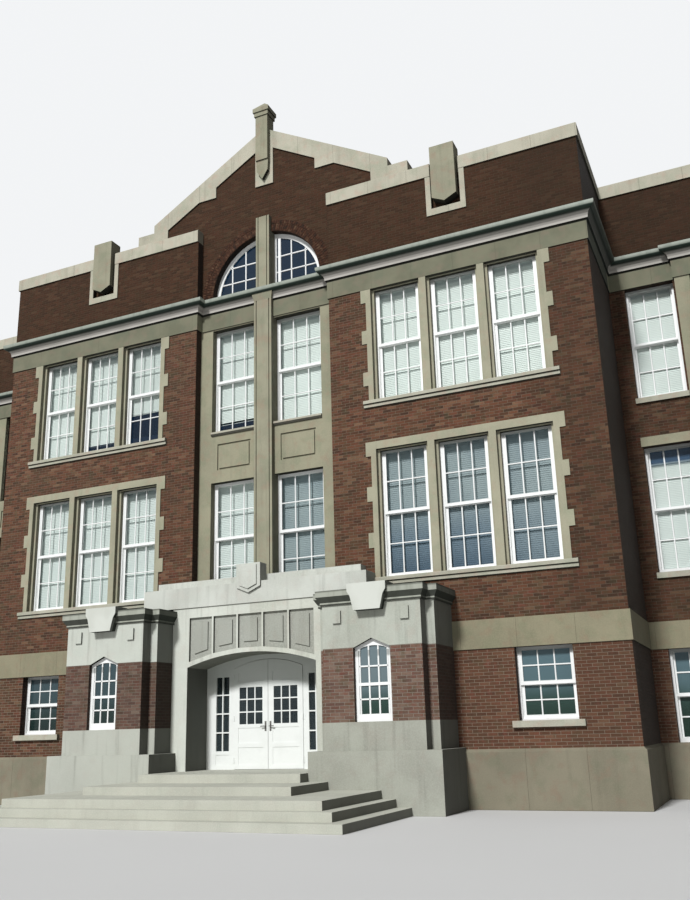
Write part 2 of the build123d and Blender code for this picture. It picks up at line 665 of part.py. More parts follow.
def arch_block():
    """Segmental arch under a frieze of five panels whose lower edges follow the curve."""
    plan = [(ARCH_OUT, ARCH_Y), (ARCH_OUT, 0), (BAY_IN, 0), (BAY_IN, RECESS + WALL)]
    body = prism_z(mirrored(plan), SPRING, ARCH_TOP)
    body -= Pos(0, 0, CROWN - ARCH_R) * Rot(90, 0, 0) * Cylinder(ARCH_R, 6 * WALL)
    half = (PANEL_PITCH - PANEL_MARGIN) / 2
    for k in range(-2, 3):
        x = k * PANEL_PITCH
        outlines = []
        for inset, lift, top in ((0, PANEL_LIFT[0], PANEL_TOP),
                                 (FIELD_INSET, PANEL_LIFT[1], PANEL_TOP - FIELD_DOWN)):
            a, b = x - half + inset, x + half - inset
            outlines.append([(a, arch_z(a, lift)), (b, arch_z(b, lift)), (b, top), (a, top)])
        sunk = prism_y(outlines[0], ARCH_Y - 1, ARCH_Y + PANEL_DEEP)
        body -= sunk - prism_y(outlines[1], ARCH_Y + PANEL_DEEP - FIELD_OUT, ARCH_Y + PANEL_DEEP + 1)
    return body


def attic():
    """Parapet over the arch with a set-back upper step and a plain shield."""
    body = box(-ATTIC_HALF, ATTIC_HALF, ARCH_Y - ATTIC_LIP, 0, ARCH_TOP, ATTIC_TOP)
    upper = ATTIC_HALF - ATTIC_STEP[0]
    body += box(-upper, upper, ARCH_Y + ATTIC_BACK, 0, ATTIC_TOP, ATTIC_TOP + ATTIC_STEP[1])
    half, point, shoulder, top = SHIELD
    front = ARCH_Y - ATTIC_LIP
    for edge, y0, y1 in ((0, front - SHIELD_OUT, ARCH_Y + ATTIC_BACK),
                         (SHIELD_EDGE, front - SHIELD_OUT - SHIELD_FACE, front - SHIELD_OUT)):
        body += prism_y([(0, ATTIC_TOP - point + edge), (half - edge, ATTIC_TOP - shoulder + edge / 2),
                         (half - edge, ATTIC_TOP + top - edge / 2), (edge - half, ATTIC_TOP + top - edge / 2),
                         (edge - half, ATTIC_TOP - shoulder + edge / 2)], y0, y1)
    return body


def entrance_steps():
    steps = None
    floor = 0
    for half, reach, rise in STEPS:
        slab = box(-half, half, PLINTH_Y - reach, PLINTH_Y, floor, floor + rise)
        steps = slab if steps is None else steps + slab
        floor += rise
    return steps


def porch_floor():
    top_step = sum(rise for half, reach, rise in STEPS)
    floor = box(-PLINTH_X[0], PLINTH_X[0], PLINTH_Y, ARCH_Y, 0, THRESHOLD)
    floor += box(-ARCH_HALF, ARCH_HALF, ARCH_Y, RECESS + WALL, 0, THRESHOLD)
    return floor + box(-PLINTH_X[0], PLINTH_X[0], PLINTH_Y - PORCH_REACH, PLINTH_Y, top_step, THRESHOLD)


# Entrance screen and doors
def door_top(x):
    """Height of the curved head over the pair of doors."""
    rise = DOOR_MID - DOOR_SIDE
    radius = (DOOR_HALF ** 2 + rise ** 2) / (2 * rise)
    return DOOR_MID - radius + sqrt(radius ** 2 - x * x)


def curve(start, end, height, count):
    """Points along a curved head, with the curve's height as a function of x."""
    step = (end - start) / count
    return [(start + i * step, height(start + i * step)) for i in range(count + 1)]


def glazed(panel, columns, rows, bar, lites, y, deep):
    """Cut a grid of lights into a panel, with one sheet of glass set behind its bars."""
    x0, x1, z0, z1 = lites
    wide = (x1 - x0 - (columns - 1) * bar) / columns
    high = (z1 - z0 - (rows - 1) * bar) / rows
    for i in range(columns):
        for j in range(rows):
            x, z = x0 + i * (wide + bar), z0 + j * (high + bar)
            panel -= box(x, x + wide, y - 1, y + deep + 1, z, z + high)
    seat = bar / 2
    panel -= box(x0 - seat, x1 + seat, y + deep, y + SCREEN_D + 1, z0 - seat, z1 + seat)
    return panel, box(x0 - seat, x1 + seat, y + deep, y + deep + PANE, z0 - seat, z1 + seat)


def side_screen():
    """Sidelight with eight lights and a sunk panel, between a door post and the stone."""
    a, b = DOOR_HALF, ARCH_HALF
    panel = prism_y([(a, THRESHOLD), (b, THRESHOLD)] + curve(b, a, arch_z, 6), SCREEN_Y, SCREEN_Y + SCREEN_D)
    post, stone, low, high = SIDE_LITES
    lites = (a + post, b - stone, THRESHOLD + low, SPRING - high)
    panel -= box(lites[0], lites[1], SCREEN_Y - 1, SCREEN_Y + PANEL_CUT,
                 THRESHOLD + SIDE_PANEL[0], THRESHOLD + SIDE_PANEL[1])
    return glazed(panel, 2, 4, SIDE_BAR, lites, SCREEN_Y, BAR_DEEP)


def door_head():
    over = curve(DOOR_HALF, -DOOR_HALF, arch_z, CURVE_SIDES)
    under = curve(-DOOR_HALF, DOOR_HALF, door_top, 2 * CURVE_SIDES)
    return prism_y(over + under, SCREEN_Y, SCREEN_Y + SCREEN_D)


def leaf():
    """Right-hand leaf: nine lights over two sunk panels and under a third, with a curved top."""
    x0, x1 = DOOR_GAP - 1, HINGE_X
    y0, y1 = DOOR_Y, DOOR_Y + DOOR_D
    foot = THRESHOLD + DOOR_LIFT
    top = curve(x1, x0, lambda x: door_top(x) - HEAD_GAP, CURVE_SIDES)
    body = prism_y([(x0, foot), (x1, foot)] + top, y0, y1)
    middle, side, low, high = LITES
    lites = (middle, DOOR_HALF - side, THRESHOLD + low, DOOR_SIDE - high)
    body, glass = glazed(body, 3, 3, LITE_BAR, lites, y0, LITE_DEEP)
    for z0, z1 in ((THRESHOLD + LOW_PANEL[0], THRESHOLD + LOW_PANEL[1]),
                   (THRESHOLD + LOCK_PANEL[0], THRESHOLD + LOCK_PANEL[1]),
                   (DOOR_SIDE - TOP_PANEL[0], DOOR_SIDE - TOP_PANEL[1])):
        body -= box(lites[0] - LITE_BAR, lites[1] + LITE_BAR, y0 - 1, y0 + PANEL_CUT, z0, z1)
    bore = (PIN + PIN_CLEAR) / cos(pi / 8)
    for z in HINGE_Z:
        body += box(x1 - HINGE_PLATE[0], x1, y0 - HINGE_PLATE[1], y0, z - KNUCKLE_L / 2, z + KNUCKLE_L / 2)
        body += Pos(HINGE_X, HINGE_Y, z) * rod(KNUCKLE, KNUCKLE_L)
        body -= Pos(HINGE_X, HINGE_Y, z) * rod(bore, KNUCKLE_L + PIN_GAP)
    return body, glass


def hinge_pin(z):
    """Pin through the leaf's knuckle, held by two arms of a plate on the post."""
    arm = KNUCKLE - PIN
    half = KNUCKLE_L / 2 + PIN_GAP + arm
    near, far = [HINGE_X + share * KNUCKLE for share in PIN_ARM]
    piece = Pos(HINGE_X, HINGE_Y, z) * rod(PIN, 2 * half)
    piece += box(near, near + HINGE_PLATE[0], SCREEN_Y - PIN, SCREEN_Y, z - half, z + half)
    plan = [(HINGE_X - PIN, HINGE_Y - PIN), (far, HINGE_Y - PIN), (far, SCREEN_Y), (near, SCREEN_Y),
            (near, HINGE_Y + PIN), (HINGE_X - PIN, HINGE_Y + PIN)]
    return piece + prism_z(plan, z - half, z - half + arm) + prism_z(plan, z + half - arm, z + half)


def handle():
    x, y, z = HANDLE[0], DOOR_Y, THRESHOLD + HANDLE[1]
    half, high, thick = HANDLE_PLATE
    radius, out = SPINDLE
    long, deep, rise = LEVER
    plate = box(x - half, x + half, y - thick, y, z - high, z + high)
    spindle = Pos(x, y, z) * Rot(90, 0, 0) * Pos(0, 0, out / 2) * rod(radius, out)
    lever = box(x - deep, x + long, y - out - deep, y - out, z - rise, z + rise)
    return plate + spindle + lever


# Windows with curved heads, and the bays of the wings
def lancet_parts():
    """Frame with a pointed head and a meeting rail, and its glass."""
    z0, z1, z2 = LANCET_Z
    y0 = LANCET_SET - BLOCK_OUT
    rim, foot, spring, rise = LANCET_LIGHT
    lights = (LANCET_W - 2 * rim, z0 + foot, z1 - spring, z1 - spring + rise)
    body = lancet(LANCET_W, z0, z1, z2, y0, y0 + LANCET_FRAME)
    body -= lancet(*lights, y0 - 1, y0 + LANCET_FRAME + 1, 4)
    mid = (z0 + z1) / 2
    body += box(rim / 2 - LANCET_W / 2, LANCET_W / 2 - rim / 2, y0, y0 + UPPER_GLASS,
                mid - RAIL / 2, mid + RAIL / 2)
    glass = lancet(*lights, y0 + UPPER_GLASS, y0 + UPPER_GLASS + PANE, 4)
    return Pos(BLOCK_X, 0, 0) * body, Pos(BLOCK_X, 0, 0) * glass


def half_round(radius, low, y0, y1):
    """Disc about the lunette's centre, cut off level with its sill."""
    start = -asin((LUNETTE_Z - low) / radius)
    turn = (pi - 2 * start) / ARC_SIDES
    points = [(radius * cos(start + i * turn), LUNETTE_Z + radius * sin(start + i * turn))
              for i in range(ARC_SIDES + 1)]
    return prism_y(points, y0, y1)


def lunette_parts():
    """Half-round frame in two lights, one each side of the stone pier, and their glass."""
    y0 = RECESS + REVEAL
    sill = GUTTER[1]
    foot, radius = sill + FRAME_FOOT, LUNETTE_R - LUNETTE_RIM
    post = box(-PIER_HALF, PIER_HALF, y0 - 1, y0 + FRAME_D + 1, sill, LUNETTE_Z + LUNETTE_R)
    light = half_round(radius, foot, y0 - 1, y0 + FRAME_D + 1) - post
    glass = half_round(radius, foot, y0 + UPPER_GLASS, y0 + UPPER_GLASS + PANE) - post
    return half_round(LUNETTE_R, sill, y0, y0 + FRAME_D) - light, glass.solids()


def wing_facing():
    """Stone facing of a wing's middle bay, with two openings a storey and sunk spandrels."""
    y0 = WING_SET - WING_BAY_OUT
    face = box(WING_MID - WING_BAY, WING_MID + WING_BAY, y0, WING_SET, BELT_Z + BELT_H, FRIEZE_Z)
    half = WING_OPEN / 2
    inset = PANEL_INSET / 2
    for x in (WING_MID - WING_PITCH, WING_MID + WING_PITCH):
        for sill, head in (SECOND, THIRD):
            face -= box(x - half, x + half, y0 - 1, WING_SET + 1, sill, head)
        face -= box(x - half + inset, x + half - inset, y0 - 1, y0 + PANEL_SINK,
                    SECOND[1] + PANEL_GAP, THIRD[0] - PANEL_GAP)
    return face


def sill_and_lintel(place, sill, head):
    """Stone sill of a plain window and, over a second-storey one, its lintel."""
    half = WING_OPEN / 2 + LINTEL_END
    pieces = [place * box(-half, half, -REVEAL - SILL_STONE_OUT, -REVEAL, sill - SILL_STONE, sill)]
    if sill == SECOND[0]:
        pieces.append(place * box(-half, half, -REVEAL - BELT_OUT, -REVEAL, head, head + LINTEL_H))
    return pieces


def round_from(start):
    """Plan outline from one side of the entrance round to the other."""
    return [(start, 0)] + outline(False, False) + [(-start, 0)]


# Walls
surrounds = [surround(*SECOND, SECOND[1] + HEAD_STONE, 0), surround(*THIRD, THIRD[1], HEAD_STONE)]
group_sills = [Pos(0, 0, z) * moulded_sill() for z in (SECOND[0], THIRD[0])]
block, plate, niche = pendant()
save("front_walls", both(front_wall(surrounds, group_sills) - niche))
save("return_walls", both(box(BAY_OUT - WALL, BAY_OUT, WALL, WING_SET + WALL, BASE_H, COPING[0])))

others = other_places()
wing = box(BAY_OUT, WING_OUT, WING_SET, WING_SET + WALL, BASE_H, COPING[0])
save("wing_front_walls", both(cut_openings(wing, [p for p in others if p[2] == 0 and p[0] > 0])))
end = box(WING_OUT - WALL, WING_OUT, WING_SET + WALL, REAR - WALL, BASE_H, COPING[0])
save("end_walls", both(cut_openings(end, [p for p in others if p[2] == 90])))
rear = box(-WING_OUT, WING_OUT, REAR - WALL, REAR, BASE_H, COPING[0])
save("rear_wall", cut_openings(rear, [p for p in others if p[2] == 180]))

# Base and belt course
foot = [(-WALL, 0), (BASE_OUT, 0), (BASE_OUT, BASE_H - BASE_OUT), (0, BASE_H), (-WALL, BASE_H)]
feet = runs(foot, round_from(PLINTH_X[1]))
behind = box(BAY_IN, PLINTH_X[1], 0, WALL, 0, BASE_H)
feet[0] += behind
feet[-1] += mirror(behind, about=Plane.YZ)
save("base_faces", feet[0::2])
save("base_returns", feet[1::2])

belt = None
for run in runs([(0, BELT_Z), (BELT_OUT, BELT_Z), (BELT_OUT, BELT_Z + BELT_H), (0, BELT_Z + BELT_H)],
                round_from(BLOCK_END)):
    belt = run if belt is None else belt + run
save("belt_course", belt)

# Middle bay, gable and finial
pier = grooved(PIER_HALF, PIER_Y, RECESS, ARCH_TOP, GUTTER[0])
pier += loft([Plane.XY.offset(z) * make_face(Polyline(*pier_plan(grow), close=True))
              for z, grow in ((COVE_Z, 0), (GUTTER[0], COVE_STEP))])
post_half, post_high = UPPER_PIER
post = grooved(post_half, PIER_Y, RECESS + REVEAL, GUTTER[1], GUTTER[1] + post_high)
save("centre_pier", [pier, post])
save("centre_bay", centre_bay())
brick, gable_coping = gable()
top_piece = finial()
save("finial", top_piece)
save("gable_wall", brick - top_piece - post)
save("gable_coping", gable_coping - top_piece)

# Cornice and parapet
ring = runs(cove_profile(), outline(True, True), closed=True)
recess_part = (ring[0] + ring[1] + ring[2]) - pier - post
save("cornice_faces", [ring[i] for i in (3, 5, 9, 11, 13, 17, 19)])
save("cornice_returns", [recess_part, ring[4], ring[6] + ring[7] + ring[8], ring[10], ring[12],
                         ring[14] + ring[15] + ring[16], ring[18]])

bevel = COPING_OUT * COPING_BEVEL
tops = runs([(-WALL - COPING_OUT, COPING[0]), (COPING_OUT, COPING[0]), (COPING_OUT, COPING[1] - bevel),
             (COPING_OUT - bevel, COPING[1]), (-WALL - COPING_OUT, COPING[1])], round_from(BAY_IN))
hollow = niche + block
tops[0] = tops[0] + plate - hollow
tops[-1] = tops[-1] + mirror(plate, about=Plane.YZ) - mirror(hollow, about=Plane.YZ)
save("coping_faces", tops[0::2])
save("coping_returns", tops[1::2])
save("parapet_pendants", both(block))

# Window stone
save("window_surrounds", [m for piece in surrounds for m in both(piece)])
save("moulded_sills", [m for piece in group_sills + [low_sill(), mid_sill()] for m in both(piece)])
plain_sills, lintels = [], []
for x, y, turn, sill, head in others:
    in_bay = turn == 0 and abs(abs(x) - WING_MID) < WING_BAY
    if sill != BASE_H and not in_bay:
        pieces = sill_and_lintel(Pos(x, y, 0) * Rot(0, 0, turn), sill, head)
        plain_sills.append(pieces[0])
        lintels += pieces[1:]
save("plain_sills", plain_sills)
save("lintels", lintels)
save("wing_bay_facings", both(wing_facing()))

# Frames and glass
lancet_frame, lancet_glass = lancet_parts()
lunette_frame, lunette_glass = lunette_parts()
front_frames = both(lancet_frame) + [lunette_frame]
front_glass = both(lancet_glass) + lunette_glass
for x, y, width, sill, head in front_places():
    front_frames.append(Pos(x, y, sill) * frame(width, head - sill, True))
    front_glass += [Pos(x, y, sill) * pane for pane in sash_panes(width, head - sill)]
save("front_window_frames", front_frames)
save("front_window_glass", front_glass)
other_frames, other_glass = [], []
for x, y, turn, sill, head in others:
    place = Pos(x, y, sill) * Rot(0, 0, turn)
    other_frames.append(place * frame(WING_OPEN, head - sill, False))
    other_glass.append(place * back_pane(WING_OPEN, head - sill))
save("other_window_frames", other_frames)
save("other_window_glass", other_glass)

# Floors and roof
inner = WING_SET + WALL
entrance = box(-BAY_IN, BAY_IN, 0, RECESS + WALL, 0, ROOF_TOP + 1)
front_room = [box(WALL - BAY_OUT, BAY_OUT - WALL, WALL, inner, z - t, z) - entrance
              for z, t in [(level, FLOOR_T) for level in FLOORS] + [(ROOF_TOP, ROOF_T)]]
main_room = [box(WALL - WING_OUT, WING_OUT - WALL, inner, REAR - WALL, z - t, z)
             for z, t in [(level, FLOOR_T) for level in FLOORS] + [(ROOF_TOP, ROOF_T)]]
save("floors_front", front_room[:-1])
save("floors_main", main_room[:-1])
save("roof_front", front_room[-1])
save("roof_main", main_room[-1])

# Portico and entrance
save("portico_bases", both(portico_base()))
save("portico_brick_bands", both(portico_shell(DADO_TOP, BRICK_BAND)))
save("portico_heads", both(portico_head()))
save("portico_caps", both(portico_cap()))
save("arch_piers", both(arch_pier()))
save("arch_block", arch_block())
crown = attic()
for piece in both(surrounds[0]) + both(group_sills[0]):
    crown -= piece
save("attic", crown)
save("entrance_steps", entrance_steps())
save("porch_floor", porch_floor())

screen, screen_glass = side_screen()
save("side_screens", both(screen))
save("side_screen_glass", both(screen_glass))
save("door_head", door_head())
right_leaf, leaf_glass = leaf()
save("hinge_pins", [m for z in HINGE_Z for m in both(hinge_pin(z))])
save("door_right", right_leaf)
save("door_left", mirror(right_leaf, about=Plane.YZ))
save("door_right_glass", leaf_glass)
save("door_left_glass", mirror(leaf_glass, about=Plane.YZ))
save("handle_right", handle())
save("handle_left", mirror(handle(), about=Plane.YZ))
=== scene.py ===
# %% [markdown]
# # A brick school building, dressed in Blender
# The walls, stone trim, portico, window frames and doors come in as fixed CAD nodes.
# This lesson adds what a mason, a joiner and a glazier would notice next: glazing bars,
# slatted blinds, an arch of real bricks, and a finish with depth for every surface.
# Everything is in metres, with the ground at height 0 and the front facing -Y.

# %% Load the frame
from math import cos, pi, radians, sin, sqrt
import bpy
from mathutils import Matrix, Vector


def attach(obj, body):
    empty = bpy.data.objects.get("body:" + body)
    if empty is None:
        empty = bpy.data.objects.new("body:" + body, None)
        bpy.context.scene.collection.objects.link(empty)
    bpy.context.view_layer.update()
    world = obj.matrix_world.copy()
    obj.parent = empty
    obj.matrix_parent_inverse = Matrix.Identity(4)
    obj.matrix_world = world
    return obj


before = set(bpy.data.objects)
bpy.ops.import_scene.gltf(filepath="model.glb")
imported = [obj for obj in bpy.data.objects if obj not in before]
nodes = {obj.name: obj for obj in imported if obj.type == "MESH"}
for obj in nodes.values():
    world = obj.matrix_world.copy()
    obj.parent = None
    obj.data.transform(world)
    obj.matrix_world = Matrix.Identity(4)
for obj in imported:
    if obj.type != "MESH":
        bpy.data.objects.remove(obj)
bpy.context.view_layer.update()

# %% [markdown]
# ## Sums with shader values
# A finish is a net of nodes, and wiring it by hand hides the idea. A small class wraps
# one socket, so that a sum such as `1 - joint * 0.3` adds its own Math nodes.

# %% A socket that can be used in sums
class Value:
    """One output of a node. Sums with it add Math nodes to its finish."""

    def __init__(self, finish, socket):
        self.finish, self.socket = finish, socket

    def maths(self, operation, *terms):
        return self.finish.node("Math", {"operation": operation}, dict(enumerate(terms)))

    def also(self, name):
        """Another output of the same node."""
        return Value(self.finish, self.socket.node.outputs[name])

    def __add__(self, other):
        return self.maths("ADD", self, other)

    def __sub__(self, other):
        return self.maths("SUBTRACT", self, other)

    def __rsub__(self, other):
        return self.maths("SUBTRACT", other, self)

    def __mul__(self, other):
        return self.maths("MULTIPLY", self, other)

    def __truediv__(self, other):
        return self.maths("DIVIDE", self, other)

    def __gt__(self, other):
        return self.maths("GREATER_THAN", self, other)

    def __lt__(self, other):
        return self.maths("LESS_THAN", self, other)

    def __abs__(self):
        return self.maths("ABSOLUTE", self)

    __radd__, __rmul__ = __add__, __mul__

# %% [markdown]
# ## A finish
# Each material starts from the Principled shader. One method adds any node: its type,
# its settings, then the values or links of its sockets. The pattern is read from object
# coordinates, which are real metres here, because every object sits at the origin. The
# same coordinates tell where shade is painted into the colour: a strip under the heads of
# the windows, and faces that look down or along +X. Past END_X, at the outer ends of the
# wings, the faces along +X get no painted shade.

# %% The finish builder
HEADS = (3.190, 7.940, 12.080)
END_X = 15.0


class Finish:
    """A material and the few patterns that its maker needs."""

    def __init__(self, name, **fixed):
        self.material = bpy.data.materials.new(name)
        self.material.use_nodes = True
        self.tree = self.material.node_tree
        self.shader = self.tree.nodes["Principled BSDF"]
        for socket, number in fixed.items():
            self.shader.inputs[socket.replace("_", " ")].default_value = number
        self.where = self.node("TexCoord", out="Object")
        self.x = self.node("SeparateXYZ", {}, {0: self.where})
        self.y, self.z = self.x.also("Y"), self.x.also("Z")
        self.facing = self.node("SeparateXYZ", {}, {0: self.where.also("Normal")})

    def node(self, kind, settings=None, sockets=None, out=0):
        made = self.tree.nodes.new("ShaderNode" + kind)
        for name, setting in (settings or {}).items():
            if name == "stops":
                ramp = made.color_ramp.elements
                for place, colour in setting[1:-1]:
                    ramp.new(place)
                for stop, (place, colour) in zip(ramp, setting):
                    stop.color = (*colour, 1)
            else:
                setattr(made, name, setting)
        for key, value in (sockets or {}).items():
            self.feed(made.inputs[key], value)
        return Value(self, made.outputs[out])

    def feed(self, socket, value):
        if isinstance(value, Value):
            self.tree.links.new(value.socket, socket)
        elif socket.type == "RGBA":
            socket.default_value = (*value, 1)
        else:
            socket.default_value = value

    def mix(self, share, first, second):
        """Colour that goes from the first to the second as share goes from 0 to 1."""
        return self.node("Mix", {"data_type": "RGBA"}, {0: share, 6: first, 7: second}, 2)

    def ramp(self, value, stops):
        return self.node("ValToRGB", {"stops": stops}, {0: value})

    def noise(self, scale, detail=3, stretch=(1, 1, 1)):
        """Cloudy pattern; the stretch sets how fast it changes along each axis."""
        place = self.node("VectorMath", {"operation": "MULTIPLY"}, {0: self.where, 1: stretch})
        return self.node("TexNoise", {}, {"Vector": place, "Scale": scale, "Detail": detail})

    def step(self, value, low, high):
        """Smooth change from 0 below low to 1 above high."""
        smooth = {"interpolation_type": "SMOOTHSTEP"}
        return self.node("MapRange", smooth, {0: value, 1: low, 2: high})

    def wall_place(self):
        """Along the wall and up it, for walls that face X or Y."""
        sideways = abs(self.facing) > 0.6
        along = self.x + sideways * (self.y - self.x)
        return self.node("CombineXYZ", {}, {0: along, 1: self.z})

    def shaded_faces(self, sides, below):
        """Painted shade: on faces that look down, and along +X on those short of END_X."""
        under = 1 - self.step(self.facing.also("Z"), -0.6, -0.2)
        return self.step(self.facing, 0.3, 0.8) * (self.x < END_X) * sides + under * below

    def head_shade_strip(self, strip):
        """1 in a strip under the head of each row of windows, fading out downwards: where shadow is
        painted.
        """
        share = 0.0
        for head in HEADS:
            rise = self.step(self.z, head - strip, head - strip * 0.6)
            share = share + rise * (self.z < head + 0.01)
        return share

    def mottle(self, colour, first, second, scale, share):
        """Patches of two other hues, as lichen, rust and soot leave on a wall."""
        patches, others = self.noise(scale, 3), self.noise(scale * 1.7, 4)
        colour = self.mix(self.step(patches, 0.48, 0.68) * share, colour, first)
        return self.mix(self.step(others, 0.50, 0.70) * share, colour, second)

    def relief(self, height, depth):
        """A bump, with the depth in metres of a height from 0 to 1."""
        return self.node("Bump", {}, {"Height": height, "Distance": depth, "Strength": 1.0})

    def use(self, **links):
        """Feed the shader's sockets, and hand over the material."""
        for socket, value in links.items():
            self.feed(self.shader.inputs[socket.replace("_", " ")], value)
        return self.material


def dress(material, *names):
    """Give CAD nodes a finish, in every slot that they have."""
    for name in names:
        slots = nodes[name].data.materials
        for i in range(max(len(slots), 1)):
            if slots:
                slots[i] = material
            else:
                slots.append(material)
    print(material.name, "on", ", ".join(names))

# %% [markdown]
# ## Brickwork
# The walls are dark red-brown bricks about 0.21 m long in courses of 68 mm, in running
# bond, with thin grey joints. The Brick Texture gives each brick its own grey between
# black and white, and a ramp turns that grey into one of the kiln's tones. Broad noise
# adds rain shadows, fine noise the sanded face, and a bump sinks the joints. The parapet
# is darker than the wall under it, and the low storey has the palest joints.

# %% Brick walls
BRICK_LONG, BRICK_HIGH, HALF_JOINT = 0.2135, 0.0677, 0.0055
PARAPET_Z, BELT_Z, STAIN_X = 12.95, 3.2, (6.3, 7.6)
NOWHERE = 99.0
BRICK_TONES = [(0.0, (0.042, 0.021, 0.013)), (0.25, (0.070, 0.031, 0.016)),
               (0.5, (0.095, 0.037, 0.019)), (0.8, (0.130, 0.053, 0.028)),
               (1.0, (0.180, 0.104, 0.060))]


def brickwork(name, tones, mortar, shade_above=NOWHERE, sides=0.0, left=0.0, right=0.0):
    """Bricks, darker above a height, with painted shade on faces that look down and along +X, and
    darker at left and right by shares.
    """
    f = Finish(name, Specular_IOR_Level=0.25)
    pattern = {"Vector": f.wall_place(),
               "Color1": (0, 0, 0), "Color2": (1, 1, 1), "Mortar": (0.5, 0.5, 0.5),
               "Scale": 1.0, "Mortar Size": HALF_JOINT, "Mortar Smooth": 0.25, "Bias": 0.0,
               "Brick Width": BRICK_LONG, "Row Height": BRICK_HIGH}
    brick = f.node("TexBrick", {}, pattern, "Color")
    joint = brick.also("Fac")
    grain = f.noise(34, 4)
    weather = f.noise(0.32, 4, (1, 1, 0.6))
    tone = f.ramp(brick + (grain - 0.5) * 0.35, tones)
    tone = f.mix(f.step(weather, 0.42, 0.68) * 0.4, tone, [c * 0.7 for c in tones[1][1]])
    tone = f.mottle(tone, (0.074, 0.050, 0.028), (0.112, 0.036, 0.024), 0.9, 0.3)
    tone = f.mottle(tone, (0.060, 0.050, 0.024), (0.155, 0.046, 0.032), 4.6, 0.5)
    tone = f.mix((grain - 0.4) * 0.3, tone, mortar)
    colour = f.mix(joint * 0.8, tone, mortar)
    colour = f.mix((f.z > shade_above) * 0.70, colour, (0.026, 0.011, 0.003))
    colour = f.mix((f.x < 0) * left, colour, [c * 0.2 for c in tones[1][1]])
    colour = f.mix(f.step(f.x, *STAIN_X) * right, colour, (0.020, 0.012, 0.006))
    low = f.z < BELT_Z
    colour = f.mix(low * (f.x > 0) * (right * 0.45), colour, (0.190, 0.088, 0.056))
    colour = f.mix(low * joint * right, colour, (0.300, 0.262, 0.205))
    # Painted shade on faces that look down and along +X
    colour = f.mix(f.shaded_faces(sides, 0.8 if sides else 0.0), colour, (0.010, 0.007, 0.005))
    height = (1 - joint) + grain * 0.35
    return f.use(Base_Color=colour, Roughness=0.86 + grain * 0.12, Normal=f.relief(height, 0.006))


MORTAR = (0.172, 0.136, 0.098)
dress(brickwork("wall_brick", BRICK_TONES, MORTAR, PARAPET_Z), "end_walls", "rear_wall")
dress(brickwork("front_brick", BRICK_TONES, MORTAR, PARAPET_Z, sides=0.85, right=0.38),
      "front_walls", "wing_front_walls", "gable_wall")
# The return walls face +X, so they carry the most painted shade
dress(brickwork("return_brick", BRICK_TONES, MORTAR, PARAPET_Z, sides=0.92), "return_walls")
PORTICO_TONES = [(0.0, (0.098, 0.056, 0.044)), (0.35, (0.148, 0.084, 0.063)),
                 (0.7, (0.186, 0.105, 0.076)), (1.0, (0.220, 0.160, 0.122))]
PORTICO_MORTAR = (0.265, 0.242, 0.200)
dress(brickwork("portico_brick", PORTICO_TONES, PORTICO_MORTAR, sides=0.8, left=0.36),
      "portico_brick_bands")

# %% [markdown]
# ## Stone
# The trim is cast stone, a warm grey with green in it, blotched by damp and streaked
# where rain runs down. One recipe serves all of it: cloudy noise for the blotches, noise
# drawn out along the height for the streaks, and fine noise for the sandy face. Long runs
# get upright joints from a Brick Texture that has a single very tall row.

# %% Stone trim
ONE_ROW = 90.0


def stonework(name, stone, damp, streak=0.35, block=0, sunk=None,
              patchy=0.4, sides=0.6, left=0.0, below=0.95):
    """Stone with joints every block, painted shade behind the depth `sunk` and on faces that look
    down and along +X, and a paler left side.
    """
    f = Finish(name, Specular_IOR_Level=0.25)
    cloud, grain = f.noise(1.1, 6), f.noise(48, 5)
    runs = f.noise(2.2, 5, (3.2, 3.2, 0.22))
    colour = f.mix(f.step(cloud, 0.36, 0.66) * 0.6, stone, damp)
    greener = [c * share for c, share in zip(damp, (0.88, 1.02, 0.94))]
    colour = f.mottle(colour, greener, (stone[0], damp[1], damp[2]), 2.6, patchy)
    if left:
        colour = f.mix((f.x < 0) * left, colour, (0.740, 0.780, 0.730))
    if sunk is not None:
        # Painted shade on faces that lie behind the depth sunk
        colour = f.mix(f.step(f.y, sunk, sunk + 0.02) * 0.58, colour, [c * 0.35 for c in damp])
    colour = f.mix(f.step(runs, 0.50, 0.78) * streak, colour, [c * 0.6 for c in damp])
    colour = f.mix(f.step(grain, 0.35, 0.75) * 0.22, colour, [min(c * 1.45, 0.9) for c in stone])
    # Painted shade on faces that look down and along +X
    colour = f.mix(f.shaded_faces(sides, below), colour, [c * 0.06 for c in damp])
    bumps = grain * 0.5 + cloud * 0.6
    if block:
        pattern = {"Vector": f.wall_place(), "Scale": 1.0, "Brick Width": block,
                   "Row Height": ONE_ROW, "Mortar Size": 0.004, "Mortar Smooth": 0.4}
        joint = f.node("TexBrick", {"offset": 0.0}, pattern, "Fac")
        colour = f.mix(joint * 0.45, colour, [c * 0.4 for c in damp])
        bumps = bumps - joint
    return f.use(Base_Color=colour, Roughness=0.8 + grain * 0.15, Normal=f.relief(bumps, 0.004))


